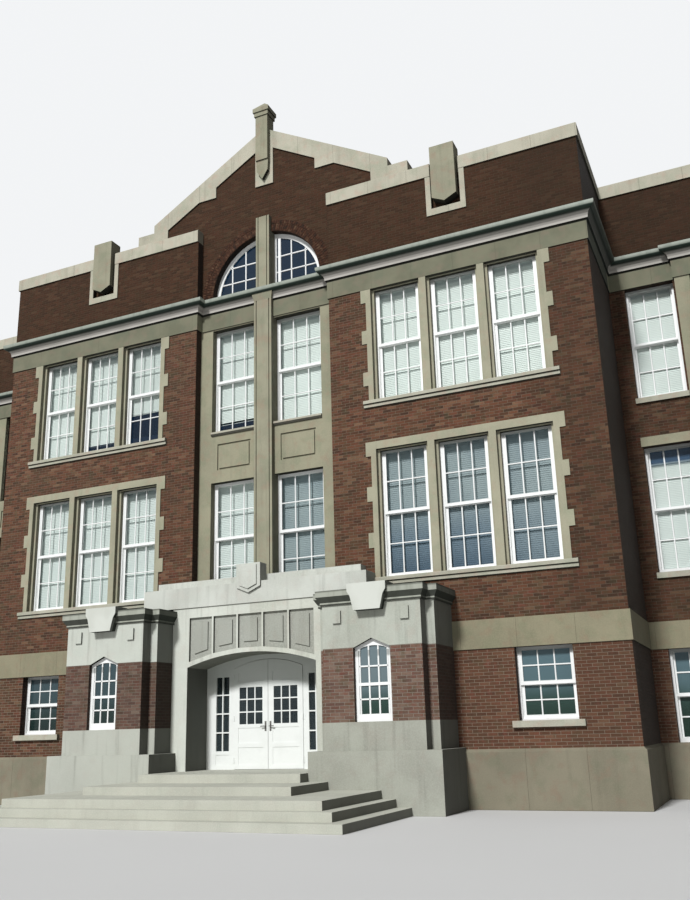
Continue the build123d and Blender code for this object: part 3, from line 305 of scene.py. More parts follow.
BAND_BLOCK, COPING_BLOCK = 1.22, 1.05
dress(stonework("trim_stone", (0.298, 0.285, 0.200), (0.225, 0.218, 0.155), 0.25),
      "centre_bay", "wing_bay_facings", "lintels")
dress(stonework("surround_stone", (0.350, 0.336, 0.245), (0.268, 0.260, 0.190), 0.25),
      "window_surrounds")
dress(stonework("band_stone", (0.252, 0.232, 0.155), (0.195, 0.182, 0.122), 0.25, BAND_BLOCK),
      "belt_course")
dress(stonework("base_stone", (0.215, 0.196, 0.142), (0.158, 0.146, 0.105), 0.2, BAND_BLOCK),
      "base_faces", "base_returns")
dress(stonework("coping_stone", (0.450, 0.430, 0.345), (0.330, 0.318, 0.250), 0.35, COPING_BLOCK),
      "coping_faces", "coping_returns", "gable_coping")
dress(stonework("carved_stone", (0.300, 0.290, 0.210), (0.215, 0.208, 0.150), 0.35),
      "centre_pier", "finial", "parapet_pendants")
dress(stonework("sill_stone", (0.410, 0.400, 0.325), (0.300, 0.292, 0.232), 0.2),
      "moulded_sills", "plain_sills")

# %% [markdown]
# The portico is whiter than the trim and less patchy, most of all its left half, so it has
# its own shares in the same recipe. The panels over the arch lie behind its face, and
# that depth alone tells the recipe where to paint shade on them.

# %% Portico stone
HEAD_STONE, HEAD_DAMP = (0.430, 0.450, 0.395), (0.320, 0.328, 0.280)
ARCH_STONE, ARCH_DAMP = (0.545, 0.560, 0.495), (0.405, 0.412, 0.355)
PANEL_Y = -0.526
dress(stonework("portico_stone", HEAD_STONE, HEAD_DAMP, 0.5, patchy=0.15, sides=0.8, left=0.32),
      "portico_heads")
dress(stonework("arch_stone", ARCH_STONE, ARCH_DAMP, 0.5, sunk=PANEL_Y,
                patchy=0.15, sides=0.8, left=0.3, below=0.5), "arch_block")
dress(stonework("pier_stone", ARCH_STONE, ARCH_DAMP, 0.5, sunk=PANEL_Y,
                patchy=0.15, sides=0.8, left=0.4), "arch_piers")
dress(stonework("plinth_stone", (0.355, 0.362, 0.312), (0.268, 0.270, 0.230), 0.45,
                patchy=0.1, sides=0.8, left=0.22), "portico_bases")
dress(stonework("attic_stone", (0.560, 0.578, 0.530), (0.420, 0.430, 0.385), 0.4, patchy=0.1),
      "attic")
dress(stonework("step_stone", (0.475, 0.480, 0.415), (0.390, 0.394, 0.340), 0.15,
                patchy=0.08, sides=0.75), "entrance_steps", "porch_floor")

# %% [markdown]
# The caps of the two blocks are weathered dark, with a painted shadow line along their
# foot and painted shade on faces that look down and those that look along +X; the carved
# bracket in the middle of each one is washed pale. The bracket is told from the moulding
# by how far it stands forward.

# %% Caps
BRACKET_FACE, BRACKET_X, BRACKET_HALF = -1.565, 3.415, 0.440
CAP_FOOT, CAP_RIM, CAP_TOP = 4.190, (4.42, 4.46), 4.471


def cap_finish():
    """Dark moulding with a painted shadow line at its foot, and a pale bracket."""
    f = Finish("cap_stone", Specular_IOR_Level=0.25)
    cloud, grain, runs = f.noise(1.4, 5), f.noise(46, 4), f.noise(2.6, 5, (3, 3, 0.3))
    pale = f.mix(f.step(cloud, 0.4, 0.65) * 0.5, (0.600, 0.620, 0.570), (0.470, 0.482, 0.430))
    dark = f.mix(f.step(runs, 0.4, 0.7) * 0.6, (0.360, 0.375, 0.322), (0.225, 0.236, 0.196))
    dark = f.mix(f.step(f.z, *CAP_RIM) * 0.7, dark, (0.060, 0.065, 0.052))
    # Painted shadow line along the foot of the cap
    dark = f.mix((f.z < CAP_FOOT) * 0.9, dark, (0.020, 0.022, 0.017))
    bracket = (abs(abs(f.x) - BRACKET_X) < BRACKET_HALF) * ((f.y < BRACKET_FACE) + (f.z > CAP_TOP))
    colour = f.mix(bracket, dark, pale)
    # Painted shade on faces that look down and along +X
    colour = f.mix(f.shaded_faces(0.8, 0.95), colour, (0.020, 0.024, 0.019))
    bumps = grain * 0.5 + cloud * 0.6
    return f.use(Base_Color=colour, Roughness=0.8 + grain * 0.15, Normal=f.relief(bumps, 0.004))


dress(cap_finish(), "portico_caps")

# %% [markdown]
# ## Cornice
# Three things are stacked in one moulding: the stone frieze with its upright joints, a
# painted cove in lavender grey, and a sheet-metal gutter. They meet at known heights, so
# the height itself picks the colour. Shade is painted in by height too: a dark belly on the
# gutter, the cove pale at its foot, darker above and nearly black under the gutter, and a
# black line along the top of the frieze. Where the cornice turns back at the right end of
# the centre block, painted shade darkens all three.

# %% Cornice colours by height
FRIEZE_TOP, COVE_Z, COVE_LIP, COVE_BEND = 12.526, 12.571, (12.608, 12.638), (12.710, 12.748)
GUTTER_Z, BELLY_Z = 12.762, (12.785, 12.830)
FRIEZE_BLOCK = 1.05
CORNER_X, RETURN_OUT, RETURN_BACK = 8.392, 8.70, 2.745


def cornice_finish():
    """Stone, paint and metal, one above the other."""
    f = Finish("cornice", Specular_IOR_Level=0.3)
    cloud, grain, runs = f.noise(1.3, 5), f.noise(45, 4), f.noise(2.4, 5, (3, 3, 0.3))
    stone = f.mix(f.step(cloud, 0.4, 0.65) * 0.6, (0.182, 0.180, 0.124), (0.118, 0.122, 0.082))
    stone = f.mottle(stone, (0.135, 0.152, 0.105), (0.205, 0.168, 0.124), 2.2, 0.5)
    stone = f.mix(f.step(runs, 0.5, 0.78) * 0.2, stone, (0.150, 0.143, 0.105))
    pattern = {"Vector": f.wall_place(), "Scale": 1.0, "Brick Width": FRIEZE_BLOCK,
               "Row Height": ONE_ROW, "Mortar Size": 0.005, "Mortar Smooth": 0.3}
    joint = f.node("TexBrick", {"offset": 0.0}, pattern, "Fac")
    stone = f.mix(joint * 0.35, stone, (0.12, 0.11, 0.08))
    # Painted shadow: a black line along the top of the frieze, under the cove
    stone = f.mix((f.z > FRIEZE_TOP) * 0.92, stone, (0.010, 0.011, 0.008))
    # Painted shade on the cove: pale at its foot, darker above, nearly black under the gutter
    cove = f.mix(f.step(f.z, *COVE_LIP), (0.450, 0.430, 0.395), (0.300, 0.284, 0.262))
    cove = f.mix(f.step(cloud, 0.35, 0.7) * 0.4, cove, (0.240, 0.240, 0.205))
    cove = f.mix(f.step(f.z, *COVE_BEND), cove, (0.022, 0.030, 0.024))
    gutter = f.mix(f.step(runs, 0.45, 0.7) * 0.5, (0.290, 0.320, 0.275), (0.180, 0.210, 0.175))
    # Painted shade on the underside of the gutter
    gutter = f.mix(1 - f.step(f.z, *BELLY_Z), gutter, (0.012, 0.026, 0.019))
    above_frieze, above_cove = f.z > COVE_Z, f.z > GUTTER_Z
    colour = f.mix(above_cove, f.mix(above_frieze, stone, cove), gutter)
    # Painted shade on stone faces that look down
    colour = f.mix(f.shaded_faces(0.0, 1.0) * (1 - above_frieze), colour, (0.012, 0.013, 0.011))
    # Painted shade where the cornice turns back at the right end of the centre block
    right_return = (f.x + f.y > CORNER_X) * (f.x < RETURN_OUT) * (f.y < RETURN_BACK)
    colour = f.mix(right_return * 0.85, colour, (0.014, 0.018, 0.015))
    rough = 0.85 - above_cove * 0.35 + grain * 0.1
    bumps = (grain * 0.6 + cloud * 0.4) * (1 - above_cove * 0.8) - joint * (1 - above_frieze)
    return f.use(Base_Color=colour, Roughness=rough, Normal=f.relief(bumps, 0.004))


dress(cornice_finish(), "cornice_faces", "cornice_returns")

# %% [markdown]
# ## Paint and glass
# White gloss paint still shows brush marks and a little dirt in clouds. Painted shadow
# darkens it close under the heads of the windows and up under the arch of the porch.

# %% Paint
UNDER_ARCH = (2.50, 2.85)


def paintwork(name, white, dirt, under_heads=0.0, under_arch=0.0):
    """Gloss paint with brush marks along the height, and two shares of shade."""
    f = Finish(name, Specular_IOR_Level=0.4)
    brush, cloud = f.noise(30, 4, (1, 1, 0.12)), f.noise(2.5, 5)
    colour = f.mix(f.step(cloud, 0.45, 0.75) * 0.35, white, dirt)
    # Painted shadow under the window heads and under the porch arch
    colour = f.mix(f.head_shade_strip(0.15) * under_heads, colour, (0.130, 0.145, 0.128))
    colour = f.mix(f.step(f.z, *UNDER_ARCH) * under_arch, colour, (0.250, 0.290, 0.262))
    return f.use(Base_Color=colour, Roughness=0.38 + brush * 0.2, Normal=f.relief(brush, 0.0008))


white_paint = paintwork("white_paint", (0.860, 0.872, 0.862), (0.740, 0.755, 0.740), 0.6)
dress(white_paint, "front_window_frames", "other_window_frames")
door_paint = paintwork("door_paint", (0.800, 0.822, 0.800), (0.680, 0.700, 0.672), under_arch=0.45)
dress(door_paint, "side_screens", "door_head", "door_right", "door_left", "hinge_pins")

# %% [markdown]
# Window glass is never quite flat, so a slow ripple bends its reflections. Upstairs it is
# clear, because blinds hang close behind it. A pane with no blind shows a dark room and a
# blue reflection instead, and these are painted into the colour of the glass, by place:
# the low storey from dark at the sill to a pale reflection at the head, the porch windows,
# the lunette, the strips that a drawn-up blind leaves bare, and the tops of the wing
# windows over their short blinds.

# %% Glass
LOW_TOP, LUNETTE_FOOT = 4.0, 12.7
LOW_GLASS = [(0.0, (0.014, 0.034, 0.024)), (0.28, (0.030, 0.062, 0.052)),
             (0.5, (0.085, 0.142, 0.158)), (1.0, (0.105, 0.172, 0.200))]
LOW_SILL, LOW_RISE, PORCH_RISE, LEFT_FALL = 1.7, 1.6, (2.1, 2.7), (5.0, 3.4)
PORCH_Y, CENTRE_Y, WING_YS = -1.0, 1.0, (1.5, 4.0)
THIRD_FLOOR_Z, WING_STRIP = 8.0, (7.45, 7.60)
# Where blinds are drawn up: middle of the strip along X, half its width, foot of the blind
BARE_PANES = ((-3.0, 2.9, 9.42), (-3.741, 0.6, 10.06))


def glazing(f, tint):
    """Colour of plain glass, with the cloud that it comes from."""
    cloud = f.noise(0.6, 3)
    return f.mix(f.step(cloud, 0.3, 0.7) * 0.6, tint, [c * 0.35 for c in tint]), cloud


def glass(f, colour, cloud, alpha):
    """Smooth rippled glass of a colour."""
    ripple = f.relief(f.noise(1.7, 2), 0.01)
    return f.use(Base_Color=colour, Roughness=0.04 + cloud * 0.05, Alpha=alpha, Normal=ripple)


def window_glass():
    """Clear where blinds hang; elsewhere painted reflections and dark rooms, nearly opaque low down
    and in the lunette.
    """
    f = Finish("window_glass", IOR=1.5, Specular_IOR_Level=0.2)
    colour, cloud = glazing(f, (0.070, 0.130, 0.150))
    low, lunette = f.z < LOW_TOP, f.z > LUNETTE_FOOT
    height = (f.z + (cloud - 0.5) * 0.5 - LOW_SILL) / LOW_RISE
    # Painted: dark room at the foot of the low panes, pale sky reflection at their head
    colour = f.mix(low, colour, f.ramp(height, LOW_GLASS))
    # Painted reflection on the right porch window, painted dark room behind the low panes at the
    # left
    right_porch = (f.y < PORCH_Y) * (f.x > 0) * f.step(f.z, *PORCH_RISE)
    colour = f.mix(right_porch * 0.5, colour, (0.200, 0.235, 0.245))
    left_low = (f.x < 0) * (f.y < CENTRE_Y) * f.step(f.z, *LEFT_FALL)
    colour = f.mix(left_low * 0.6, colour, (0.012, 0.020, 0.022))
    # Painted dark behind the lunette
    colour = f.mix(lunette, colour, (0.004, 0.018, 0.040))
    # Painted dark room and blue reflection where a blind is drawn up
    wide, narrow = [(f.z < foot) * (abs(f.x - x) < half) for x, half, foot in BARE_PANES]
    bare = (wide + narrow) * (f.z > THIRD_FLOOR_Z) * (f.y < CENTRE_Y)
    colour = f.mix(bare, colour, (0.008, 0.020, 0.040))
    # Painted sky reflection above the short blinds of the wings
    in_wings = (f.y > WING_YS[0]) * (f.y < WING_YS[1])
    wing_tops = f.step(f.z, *WING_STRIP) * (f.z < THIRD_FLOOR_Z) * in_wings
    colour = f.mix(wing_tops, colour, (0.060, 0.110, 0.180))
    alpha = 0.07 + bare * 0.6 + wing_tops * 0.65
    return glass(f, colour, cloud, alpha + (low + lunette) * (0.9 - alpha))


def door_glass():
    """Glass over the dark hall, half clear."""
    f = Finish("door_glass", IOR=1.5, Specular_IOR_Level=0.2)
    return glass(f, *glazing(f, (0.040, 0.055, 0.060)), 0.6)


dress(window_glass(), "front_window_glass", "other_window_glass")
dress(door_glass(), "side_screen_glass", "door_right_glass", "door_left_glass")

# %% [markdown]
# ## Metal, floors and roof
# Worn metal, concrete and gravel are all specks of a dark tone on a light one. The size
# of the specks and the depth of the bump tell them apart.

# %% Metal, floors and roof
def speckled(name, light, dark, scale, depth, rough, **fixed):
    """Specks of a size, with a bump of their own depth."""
    f = Finish(name, **fixed)
    specks, cloud = f.noise(scale, 4), f.noise(0.7, 4)
    colour = f.mix(f.step(specks, 0.4, 0.62), light, dark)
    colour = f.mix(f.step(cloud, 0.4, 0.7) * 0.3, colour, dark)
    return f.use(Base_Color=colour, Roughness=rough + specks * 0.12, Normal=f.relief(specks, depth))


dress(speckled("dark_metal", (0.230, 0.222, 0.205), (0.090, 0.087, 0.080), 60, 0.0004, 0.34,
               Metallic=0.7), "handle_right", "handle_left")
dress(speckled("concrete_floor", (0.36, 0.35, 0.32), (0.27, 0.26, 0.24), 25, 0.002, 0.75),
      "floors_front", "floors_main")
dress(speckled("roof_gravel", (0.24, 0.23, 0.22), (0.10, 0.10, 0.10), 30, 0.012, 0.85),
      "roof_front", "roof_main")

# %% [markdown]
# ## Modelling by hand
# New pieces are made as at the screen: add a primitive, shape it in edit mode, apply a
# modifier. An operator works on all that is selected, so these helpers always start from
# nothing selected, and pick faces by which way they look.

# %% Helpers for edit mode
def pick_nothing():
    """Object mode, with nothing selected."""
    if bpy.context.object and bpy.context.object.mode != "OBJECT":
        bpy.ops.object.mode_set(mode="OBJECT")
    bpy.ops.object.select_all(action="DESELECT")


def pick_faces(piece, test):
    """Back to edit mode with only the faces selected for which test(face) holds."""
    bpy.ops.object.mode_set(mode="OBJECT")
    for part in (piece.data.vertices, piece.data.edges, piece.data.polygons):
        part.foreach_set("select", [False] * len(part))
    for face in piece.data.polygons:
        face.select = bool(test(face))
    bpy.ops.object.mode_set(mode="EDIT")
    bpy.ops.mesh.select_mode(type="FACE")


def looks_forward(face):
    return face.normal.y < -0.9


def slab(x0, x1, y0, y1, z0, z1, chamfer=0.0):
    """A block between two corners, with the edges of its front face chamfered."""
    pick_nothing()
    bpy.ops.mesh.primitive_cube_add(size=1, location=((x0 + x1) / 2, (y0 + y1) / 2, (z0 + z1) / 2))
    piece = bpy.context.object
    piece.scale = (x1 - x0, y1 - y0, z1 - z0)
    bpy.ops.object.transform_apply(location=True, rotation=True, scale=True)
    if chamfer:
        bpy.ops.object.mode_set(mode="EDIT")
        pick_faces(piece, looks_forward)
        bpy.ops.mesh.bevel(offset=chamfer, segments=1)
        bpy.ops.object.mode_set(mode="OBJECT")
    return piece


def join(name, pieces):
    """One piece out of several."""
    pick_nothing()
    for piece in pieces:
        piece.select_set(True)
    bpy.context.view_layer.objects.active = pieces[0]
    if len(pieces) > 1:
        bpy.ops.object.join()
    pieces[0].name = pieces[0].data.name = name
    return pieces[0]


def set_out(name, master, places):
    """Copies of a piece, each with its own mesh, moved by the matrices, joined into one."""
    made = []
    for place in places:
        copy = master.copy()
        copy.data = master.data.copy()
        copy.data.transform(place)
        bpy.context.scene.collection.objects.link(copy)
        made.append(copy)
    bpy.data.objects.remove(master)
    return join(name, made)


def finished(piece, material, body="building"):
    """Give a new piece its material, and name the body that carries it."""
    piece.data.materials.clear()
    piece.data.materials.append(material)
    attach(piece, body)
    print(piece.name, len(piece.data.polygons), "faces")


def at(x, y, z, turn=0):
    """Place for a copy: moved, and turned about the upright by whole degrees."""
    return Matrix.Translation((x, y, z)) @ Matrix.Rotation(radians(turn), 4, "Z")

# %% [markdown]
# ## Where the windows are
# Sizes repeat those of the frames: centre of each window, the face of its frame, its
# width or its turn from the front, its sill and its head. The front has groups of three,
# a recessed pair in the middle and a single low one; all the others are plain.

# %% Windows of the front
SECOND, THIRD = (4.910, 7.940), (9.160, 12.080)
LOW_SINGLE, LOW_PLAIN = (1.710, 3.190), (1.170, 3.190)
REVEAL, RECESS = 0.180, 0.238
GROUP_X, PITCH, GROUP_W = 5.181, 1.440, 1.150
LOW_X, LOW_W = 6.621, 1.200
MID_X, MID_W, MID_LOWER = 0.9285, 1.343, (0.140, 0.030)

front_rows = []
for side in (-1, 1):
    for storey, (sill, head) in enumerate((SECOND, THIRD)):
        for k in (-1, 0, 1):
            front_rows.append((side * GROUP_X + k * PITCH, REVEAL, GROUP_W, sill, head))
        front_rows.append((side * MID_X, RECESS + REVEAL, MID_W, sill, head - MID_LOWER[storey]))
    front_rows.append((side * LOW_X, REVEAL, LOW_W, *LOW_SINGLE))
print("front windows", len(front_rows))

# %% Plain windows of the wings, the ends and the back
WING_MID, WING_OFFSETS = 11.751, (-2.405, -0.850, 0.850, 2.405)
END_YS, REAR_COUNT, REAR_HALF = (5.5, 10.5), 8, 15.110
WING_FACE, END_FACE, REAR_FACE = 3.180, 14.930, 12.820

plain_rows = []
for sill, head in (LOW_PLAIN, SECOND, THIRD):
    for side in (-1, 1):
        for offset in WING_OFFSETS:
            plain_rows.append((side * (WING_MID + offset), WING_FACE, 0, sill, head))
        for y in END_YS:
            plain_rows.append((side * END_FACE, y, side * 90, sill, head))
    for k in range(REAR_COUNT):
        x = (2 * (k + 0.5) / REAR_COUNT - 1) * REAR_HALF
        plain_rows.append((x, REAR_FACE, 180, sill, head))
print("plain windows", len(plain_rows))

# %% [markdown]
# ## Glazing bars
# A sash is three panes wide and two high. A flat grid with as many cells is sized to the
# sash; every cell is inset by half a bar and cut out, and the lattice that stays is
# extruded. Insetting its front while it moves gives the bars their slanted sides, in one
# go at every crossing, which separate strips would never do so neatly.

# %% One lattice of bars
PANES_WIDE, PANES_HIGH = 3, 2
BAR_DEEP, SLANT, SLANT_WIDE = 0.024, 0.009, 0.0072


def lattice(width, height, bar):
    """Crossing bars that lie back on the plane Y 0, with the middle of the foot at the origin."""
    pick_nothing()
    bpy.ops.mesh.primitive_grid_add(x_subdivisions=PANES_WIDE, y_subdivisions=PANES_HIGH, size=1,
                                    rotation=(pi / 2, 0, 0))
    piece = bpy.context.object
    bpy.ops.object.transform_apply(location=True, rotation=True, scale=True)
    bpy.ops.object.mode_set(mode="EDIT")
    bpy.ops.mesh.select_all(action="SELECT")
    bpy.ops.transform.resize(value=(width, 1, height))
    bpy.ops.mesh.inset(thickness=bar / 2, use_individual=True)
    bpy.ops.mesh.delete(type="FACE")
    bpy.ops.mesh.select_all(action="SELECT")
    bpy.ops.mesh.extrude_region_move(TRANSFORM_OT_translate={"value": (0, SLANT - BAR_DEEP, 0)})
    bpy.ops.mesh.inset(thickness=SLANT_WIDE, depth=SLANT)
    bpy.ops.mesh.select_all(action="SELECT")
    bpy.ops.mesh.normals_make_consistent(inside=False)
    bpy.ops.transform.translate(value=(0, 0, height / 2))
    bpy.ops.object.mode_set(mode="OBJECT")
    return piece

# %% [markdown]
# Every window has an upper and a lower sash, and windows of one size share one pair. So
# the sashes are first sorted by size, and then one of each size is modelled, with a stile
# at each side, and copied to its places. The back of the bars lies on the glass.

# %% Sashes by size
RIM, FOOT, RAIL = 0.055, 0.095, 0.060
STILE, STILE_DEEP, STILE_CHAMFER = 0.046, 0.027, 0.004


def sash_places(rows, upper_back, lower_back):
    """For each size of sash, the places of its copies."""
    sizes = {}
    for x, y, width, turn, sill, head in rows:
        half = (head - sill) / 2
        lower = (half - RAIL / 2 - FOOT, sill + FOOT, lower_back)
        upper = (half - RAIL / 2 - RIM, sill + half + RAIL / 2, upper_back)
        for high, z, back in (lower, upper):
            place = at(x, y, z, turn) @ Matrix.Translation((0, back, 0))
            sizes.setdefault((round(width - 2 * RIM, 4), round(high, 4)), []).append(place)
    return sizes


def sash_bars(name, rows, upper_back, lower_back, bar):
    """The bars and stiles of all the windows in some rows, as one piece."""
    made = []
    for (width, high), places in sash_places(rows, upper_back, lower_back).items():
        bars = lattice(width - 2 * STILE + bar, high, bar)
        stiles = [slab(x, x + STILE, -STILE_DEEP, 0, 0, high, STILE_CHAMFER)
                  for x in (-width / 2, width / 2 - STILE)]
        made.append(set_out("sash", join("sash", [bars] + stiles), places))
    finished(join(name, made), white_paint)

# %% Bars in every window
FRONT_BAR, UPPER_GLASS, LOWER_GLASS = 0.030, 0.030, 0.085
PLAIN_BAR, PLAIN_GLASS, PLAIN_W = 0.034, 0.130, 1.150

front_sashes = [(x, y, width, 0, sill, head) for x, y, width, sill, head in front_rows]
sash_bars("front_sash_bars", front_sashes, UPPER_GLASS, LOWER_GLASS, FRONT_BAR)
plain_turns = {"wing_sash_bars": (0,), "end_sash_bars": (90, -90), "rear_sash_bars": (180,)}
for name, turns in plain_turns.items():
    rows = [(x, y, PLAIN_W, turn, sill, head)
            for x, y, turn, sill, head in plain_rows if turn in turns]
    sash_bars(name, rows, PLAIN_GLASS, PLAIN_GLASS, PLAIN_BAR)

# %% [markdown]
# ## Bars of the lunette
# Each half of the round window has two uprights and two level bars that stop at the
# curve. Every bar is a slab with a chamfered front, and its length comes from the circle.

# %% Lunette bars
LUNETTE_Z, LIGHT_R, LUNETTE_GLASS, LIGHT_FOOT = 13.000, 1.500, 0.448, 12.995
UPRIGHT_XS, LEVEL_ZS, PIER_X = (0.700, 1.120), (13.450, 13.912), 0.257
BAR, LUNETTE_DEEP, LUNETTE_CHAMFER = 0.036, 0.026, 0.007
INNER_STILE, INNER_DEEP, INNER_CHAMFER = (0.300, 0.385), 0.034, 0.008


def reach(distance):
    """Half the chord of the light at a distance from the centre."""
    return sqrt(LIGHT_R ** 2 - distance ** 2)


def lunette_bar(side, x0, x1, z0, z1, deep=LUNETTE_DEEP, chamfer=LUNETTE_CHAMFER):
    """A bar between two distances from the middle, on the left or on the right."""
    a, b = sorted((side * x0, side * x1))
    return slab(a, b, LUNETTE_GLASS - deep, LUNETTE_GLASS, z0, z1, chamfer)


bars = []
for side in (-1, 1):
    for x in UPRIGHT_XS:
        top = LUNETTE_Z + reach(x + BAR / 2)
        bars.append(lunette_bar(side, x - BAR / 2, x + BAR / 2, LIGHT_FOOT, top))
    for z in LEVEL_ZS:
        end_x = reach(z - LUNETTE_Z + BAR / 2)
        bars.append(lunette_bar(side, PIER_X, end_x, z - BAR / 2, z + BAR / 2))
    stile_top = LUNETTE_Z + reach(INNER_STILE[1])
    bars.append(lunette_bar(side, *INNER_STILE, LIGHT_FOOT, stile_top, INNER_DEEP, INNER_CHAMFER))
finished(join("lunette_bars", bars), white_paint)

# %% [markdown]
# ## Bars of the porch windows
# The two pointed windows are sashes too, three panes wide. Their uprights stop at the
# curved head, whose height comes from an ellipse.

# %% Porch window bars
LANCET_X, LANCET_GLASS, LANCET_HALF = 3.415, -1.330, 0.335
LANCET_FOOT, LANCET_RAIL, LANCET_SPRING, LANCET_RISE = 1.920, (2.480, 2.540), 3.180, 0.110
LANCET_BAR, LANCET_DEEP, LANCET_CHAMFER = 0.034, 0.026, 0.006
LANCET_UPRIGHTS, LANCET_LEVELS = (-0.312, -0.107, 0.107, 0.312), (2.210, 2.870)


def lancet_bar(x0, x1, z0, z1):
    return slab(x0, x1, LANCET_GLASS - LANCET_DEEP, LANCET_GLASS, z0, z1, LANCET_CHAMFER)


bars = []
for middle_x in (-LANCET_X, LANCET_X):
    for x in LANCET_UPRIGHTS:
        top = LANCET_SPRING + LANCET_RISE * sqrt(1 - (x / LANCET_HALF) ** 2)
        a, b = middle_x + x - LANCET_BAR / 2, middle_x + x + LANCET_BAR / 2
        bars.append(lancet_bar(a, b, LANCET_FOOT, LANCET_RAIL[0]))
        bars.append(lancet_bar(a, b, LANCET_RAIL[1], top))
    for z in LANCET_LEVELS:
        a, b = middle_x - LANCET_HALF, middle_x + LANCET_HALF
        bars.append(lancet_bar(a, b, z - LANCET_BAR / 2, z + LANCET_BAR / 2))
finished(join("porch_window_bars", bars), white_paint)

# %% [markdown]
# ## Slatted blinds
# Nearly every upper window has its blind down. A blind is a head rail, curved slats
# hung one over the next, and a bottom rail. One slat is bent, repeated by an array and
# given its thickness, which is quicker than modelling seventy of them.

# %% One blind
SLAT_PITCH, SLAT_WIDE, SLAT_THICK = 0.046, 0.052, 0.002
# How far the lower edge, the middle and the upper edge of a slat stand back
SLAT_CURVE = (-0.010, -0.007, 0.004)
FIRST_SLAT, RAILS, RAIL_CHAMFER = 0.075, 0.10, 0.004
HEAD_DEPTHS, HEAD_HIGH = (-0.022, 0.024), 0.050
FOOT_DEPTHS, FOOT_HIGH = (-0.014, 0.014), 0.026


def blind(width, drop):
    """A blind that hangs down from the origin."""
    pick_nothing()
    bpy.ops.mesh.primitive_grid_add(x_subdivisions=1, y_subdivisions=2, size=1,
                                    rotation=(pi / 2, 0, 0))
    slats = bpy.context.object
    bpy.ops.object.transform_apply(location=True, rotation=True, scale=True)
    bpy.ops.object.mode_set(mode="EDIT")
    bpy.ops.mesh.select_all(action="SELECT")
    bpy.ops.transform.resize(value=(width, 1, SLAT_WIDE))
    bpy.ops.object.mode_set(mode="OBJECT")
    for corner in slats.data.vertices:
        corner.co.y += SLAT_CURVE[1 + round(corner.co.z / (SLAT_WIDE / 2))]
        corner.co.z -= FIRST_SLAT
    array = slats.modifiers.new("rows", "ARRAY")
    array.count = int((drop - RAILS) / SLAT_PITCH)
    array.use_relative_offset = False
    array.use_constant_offset = True
    array.constant_offset_displace = (0, 0, -SLAT_PITCH)
    sheet = slats.modifiers.new("thickness", "SOLIDIFY")
    sheet.thickness = SLAT_THICK
    for modifier in ("rows", "thickness"):
        bpy.ops.object.modifier_apply(modifier=modifier)
    head = slab(-width / 2, width / 2, *HEAD_DEPTHS, -HEAD_HIGH, 0.0, RAIL_CHAMFER)
    foot = slab(-width / 2, width / 2, *FOOT_DEPTHS, -drop, FOOT_HIGH - drop, RAIL_CHAMFER)
    return join("blind", [slats, head, foot])


# %% [markdown]
# Painted slats pick up grime in clouds and fade in bands along their length. The grey
# blinds hang only at the right of the second storey, and look bluer towards the sill,
# where the room behind them is dark, though less so in the last window.

# %% Finish of the blinds
GROUP_EDGE, FADE_XS, LOWER_STOREYS = 3.0, (5.2, 6.6), 8.2


def blind_finish(name, slat, grime, near_head, blue_from=None):
    """Grimy slats, with painted shadow by a share near the heads, and a painted blue reflection
    from a height down.
    """
    f = Finish(name, Specular_IOR_Level=0.3)
    cloud, fade = f.noise(0.9, 3), f.noise(6, 2, (0.2, 0.2, 1))
    colour = f.mix(f.step(cloud, 0.35, 0.7) * 0.6, slat, grime)
    # Painted blue reflection on the grey blinds, darker towards the sill
    if blue_from:
        last, group = f.step(f.x, *FADE_XS), f.x > GROUP_EDGE
        low = 1 - f.step(f.z + cloud * 0.6, blue_from - 0.3, blue_from + 0.8)
        colour = f.mix(low * group * (1 - last * 0.45), colour, (0.130, 0.190, 0.240))
        bottom = 1 - f.step(f.z + cloud * 0.5, blue_from - 1.1, blue_from - 0.3)
        colour = f.mix(bottom * group * (1 - last * 0.6), colour, (0.050, 0.092, 0.140))
    # Painted shadow near the heads; a little darker at the left and in the lower storeys
    dull = (f.x < 0) * 0.08 + (f.z < LOWER_STOREYS) * 0.09 + f.head_shade_strip(0.19) * near_head
    colour = f.mix(dull, colour, (0.110, 0.170, 0.200))
    return f.use(Base_Color=colour, Roughness=0.5 + fade * 0.2, Normal=f.relief(fade, 0.001))


pale_blind = blind_finish("pale_blind", (0.865, 0.955, 0.895), (0.785, 0.885, 0.825), 0.4)
grey_blind = blind_finish("grey_blind", (0.345, 0.420, 0.420), (0.245, 0.312, 0.338), 0.1,
                          blue_from=6.25)

# %% [markdown]
# A blind that is drawn up has its slats closer together, so a copy of the whole blind is
# simply squeezed along its height to the length that hangs there.

# %% Blinds of the front
BLIND_BACK, HEAD_GAP, BLIND_SPARE = 0.156, 0.01, 0.02
GROUP_BLIND, MIDDLE_BLIND = (1.110, 3.0), (1.300, 2.9)
# Side, storey: how far down the blinds hang, in a group from left to right and in the middle
HUNG = {(-1, 1): (1.0, 0.92, 0.68), (1, 1): (1.0, 1.0, 1.0),
        (-1, 0): (1.0, 0.98, 1.0), (1, 0): (1.0, 1.0, 1.0)}
HUNG_MIDDLE = {(-1, 1): 0.91, (1, 1): 1.0, (-1, 0): 1.0, (1, 0): 1.0}
GREY_AT = (1, 0)


def drawn(x, face, sill, head, share, full):
    """Place for a blind of a full length, drawn up to a share of the window."""
    length = share * (head - sill - BLIND_SPARE)
    return at(x, face + BLIND_BACK, head - HEAD_GAP) @ Matrix.Diagonal((1, 1, length / full, 1))


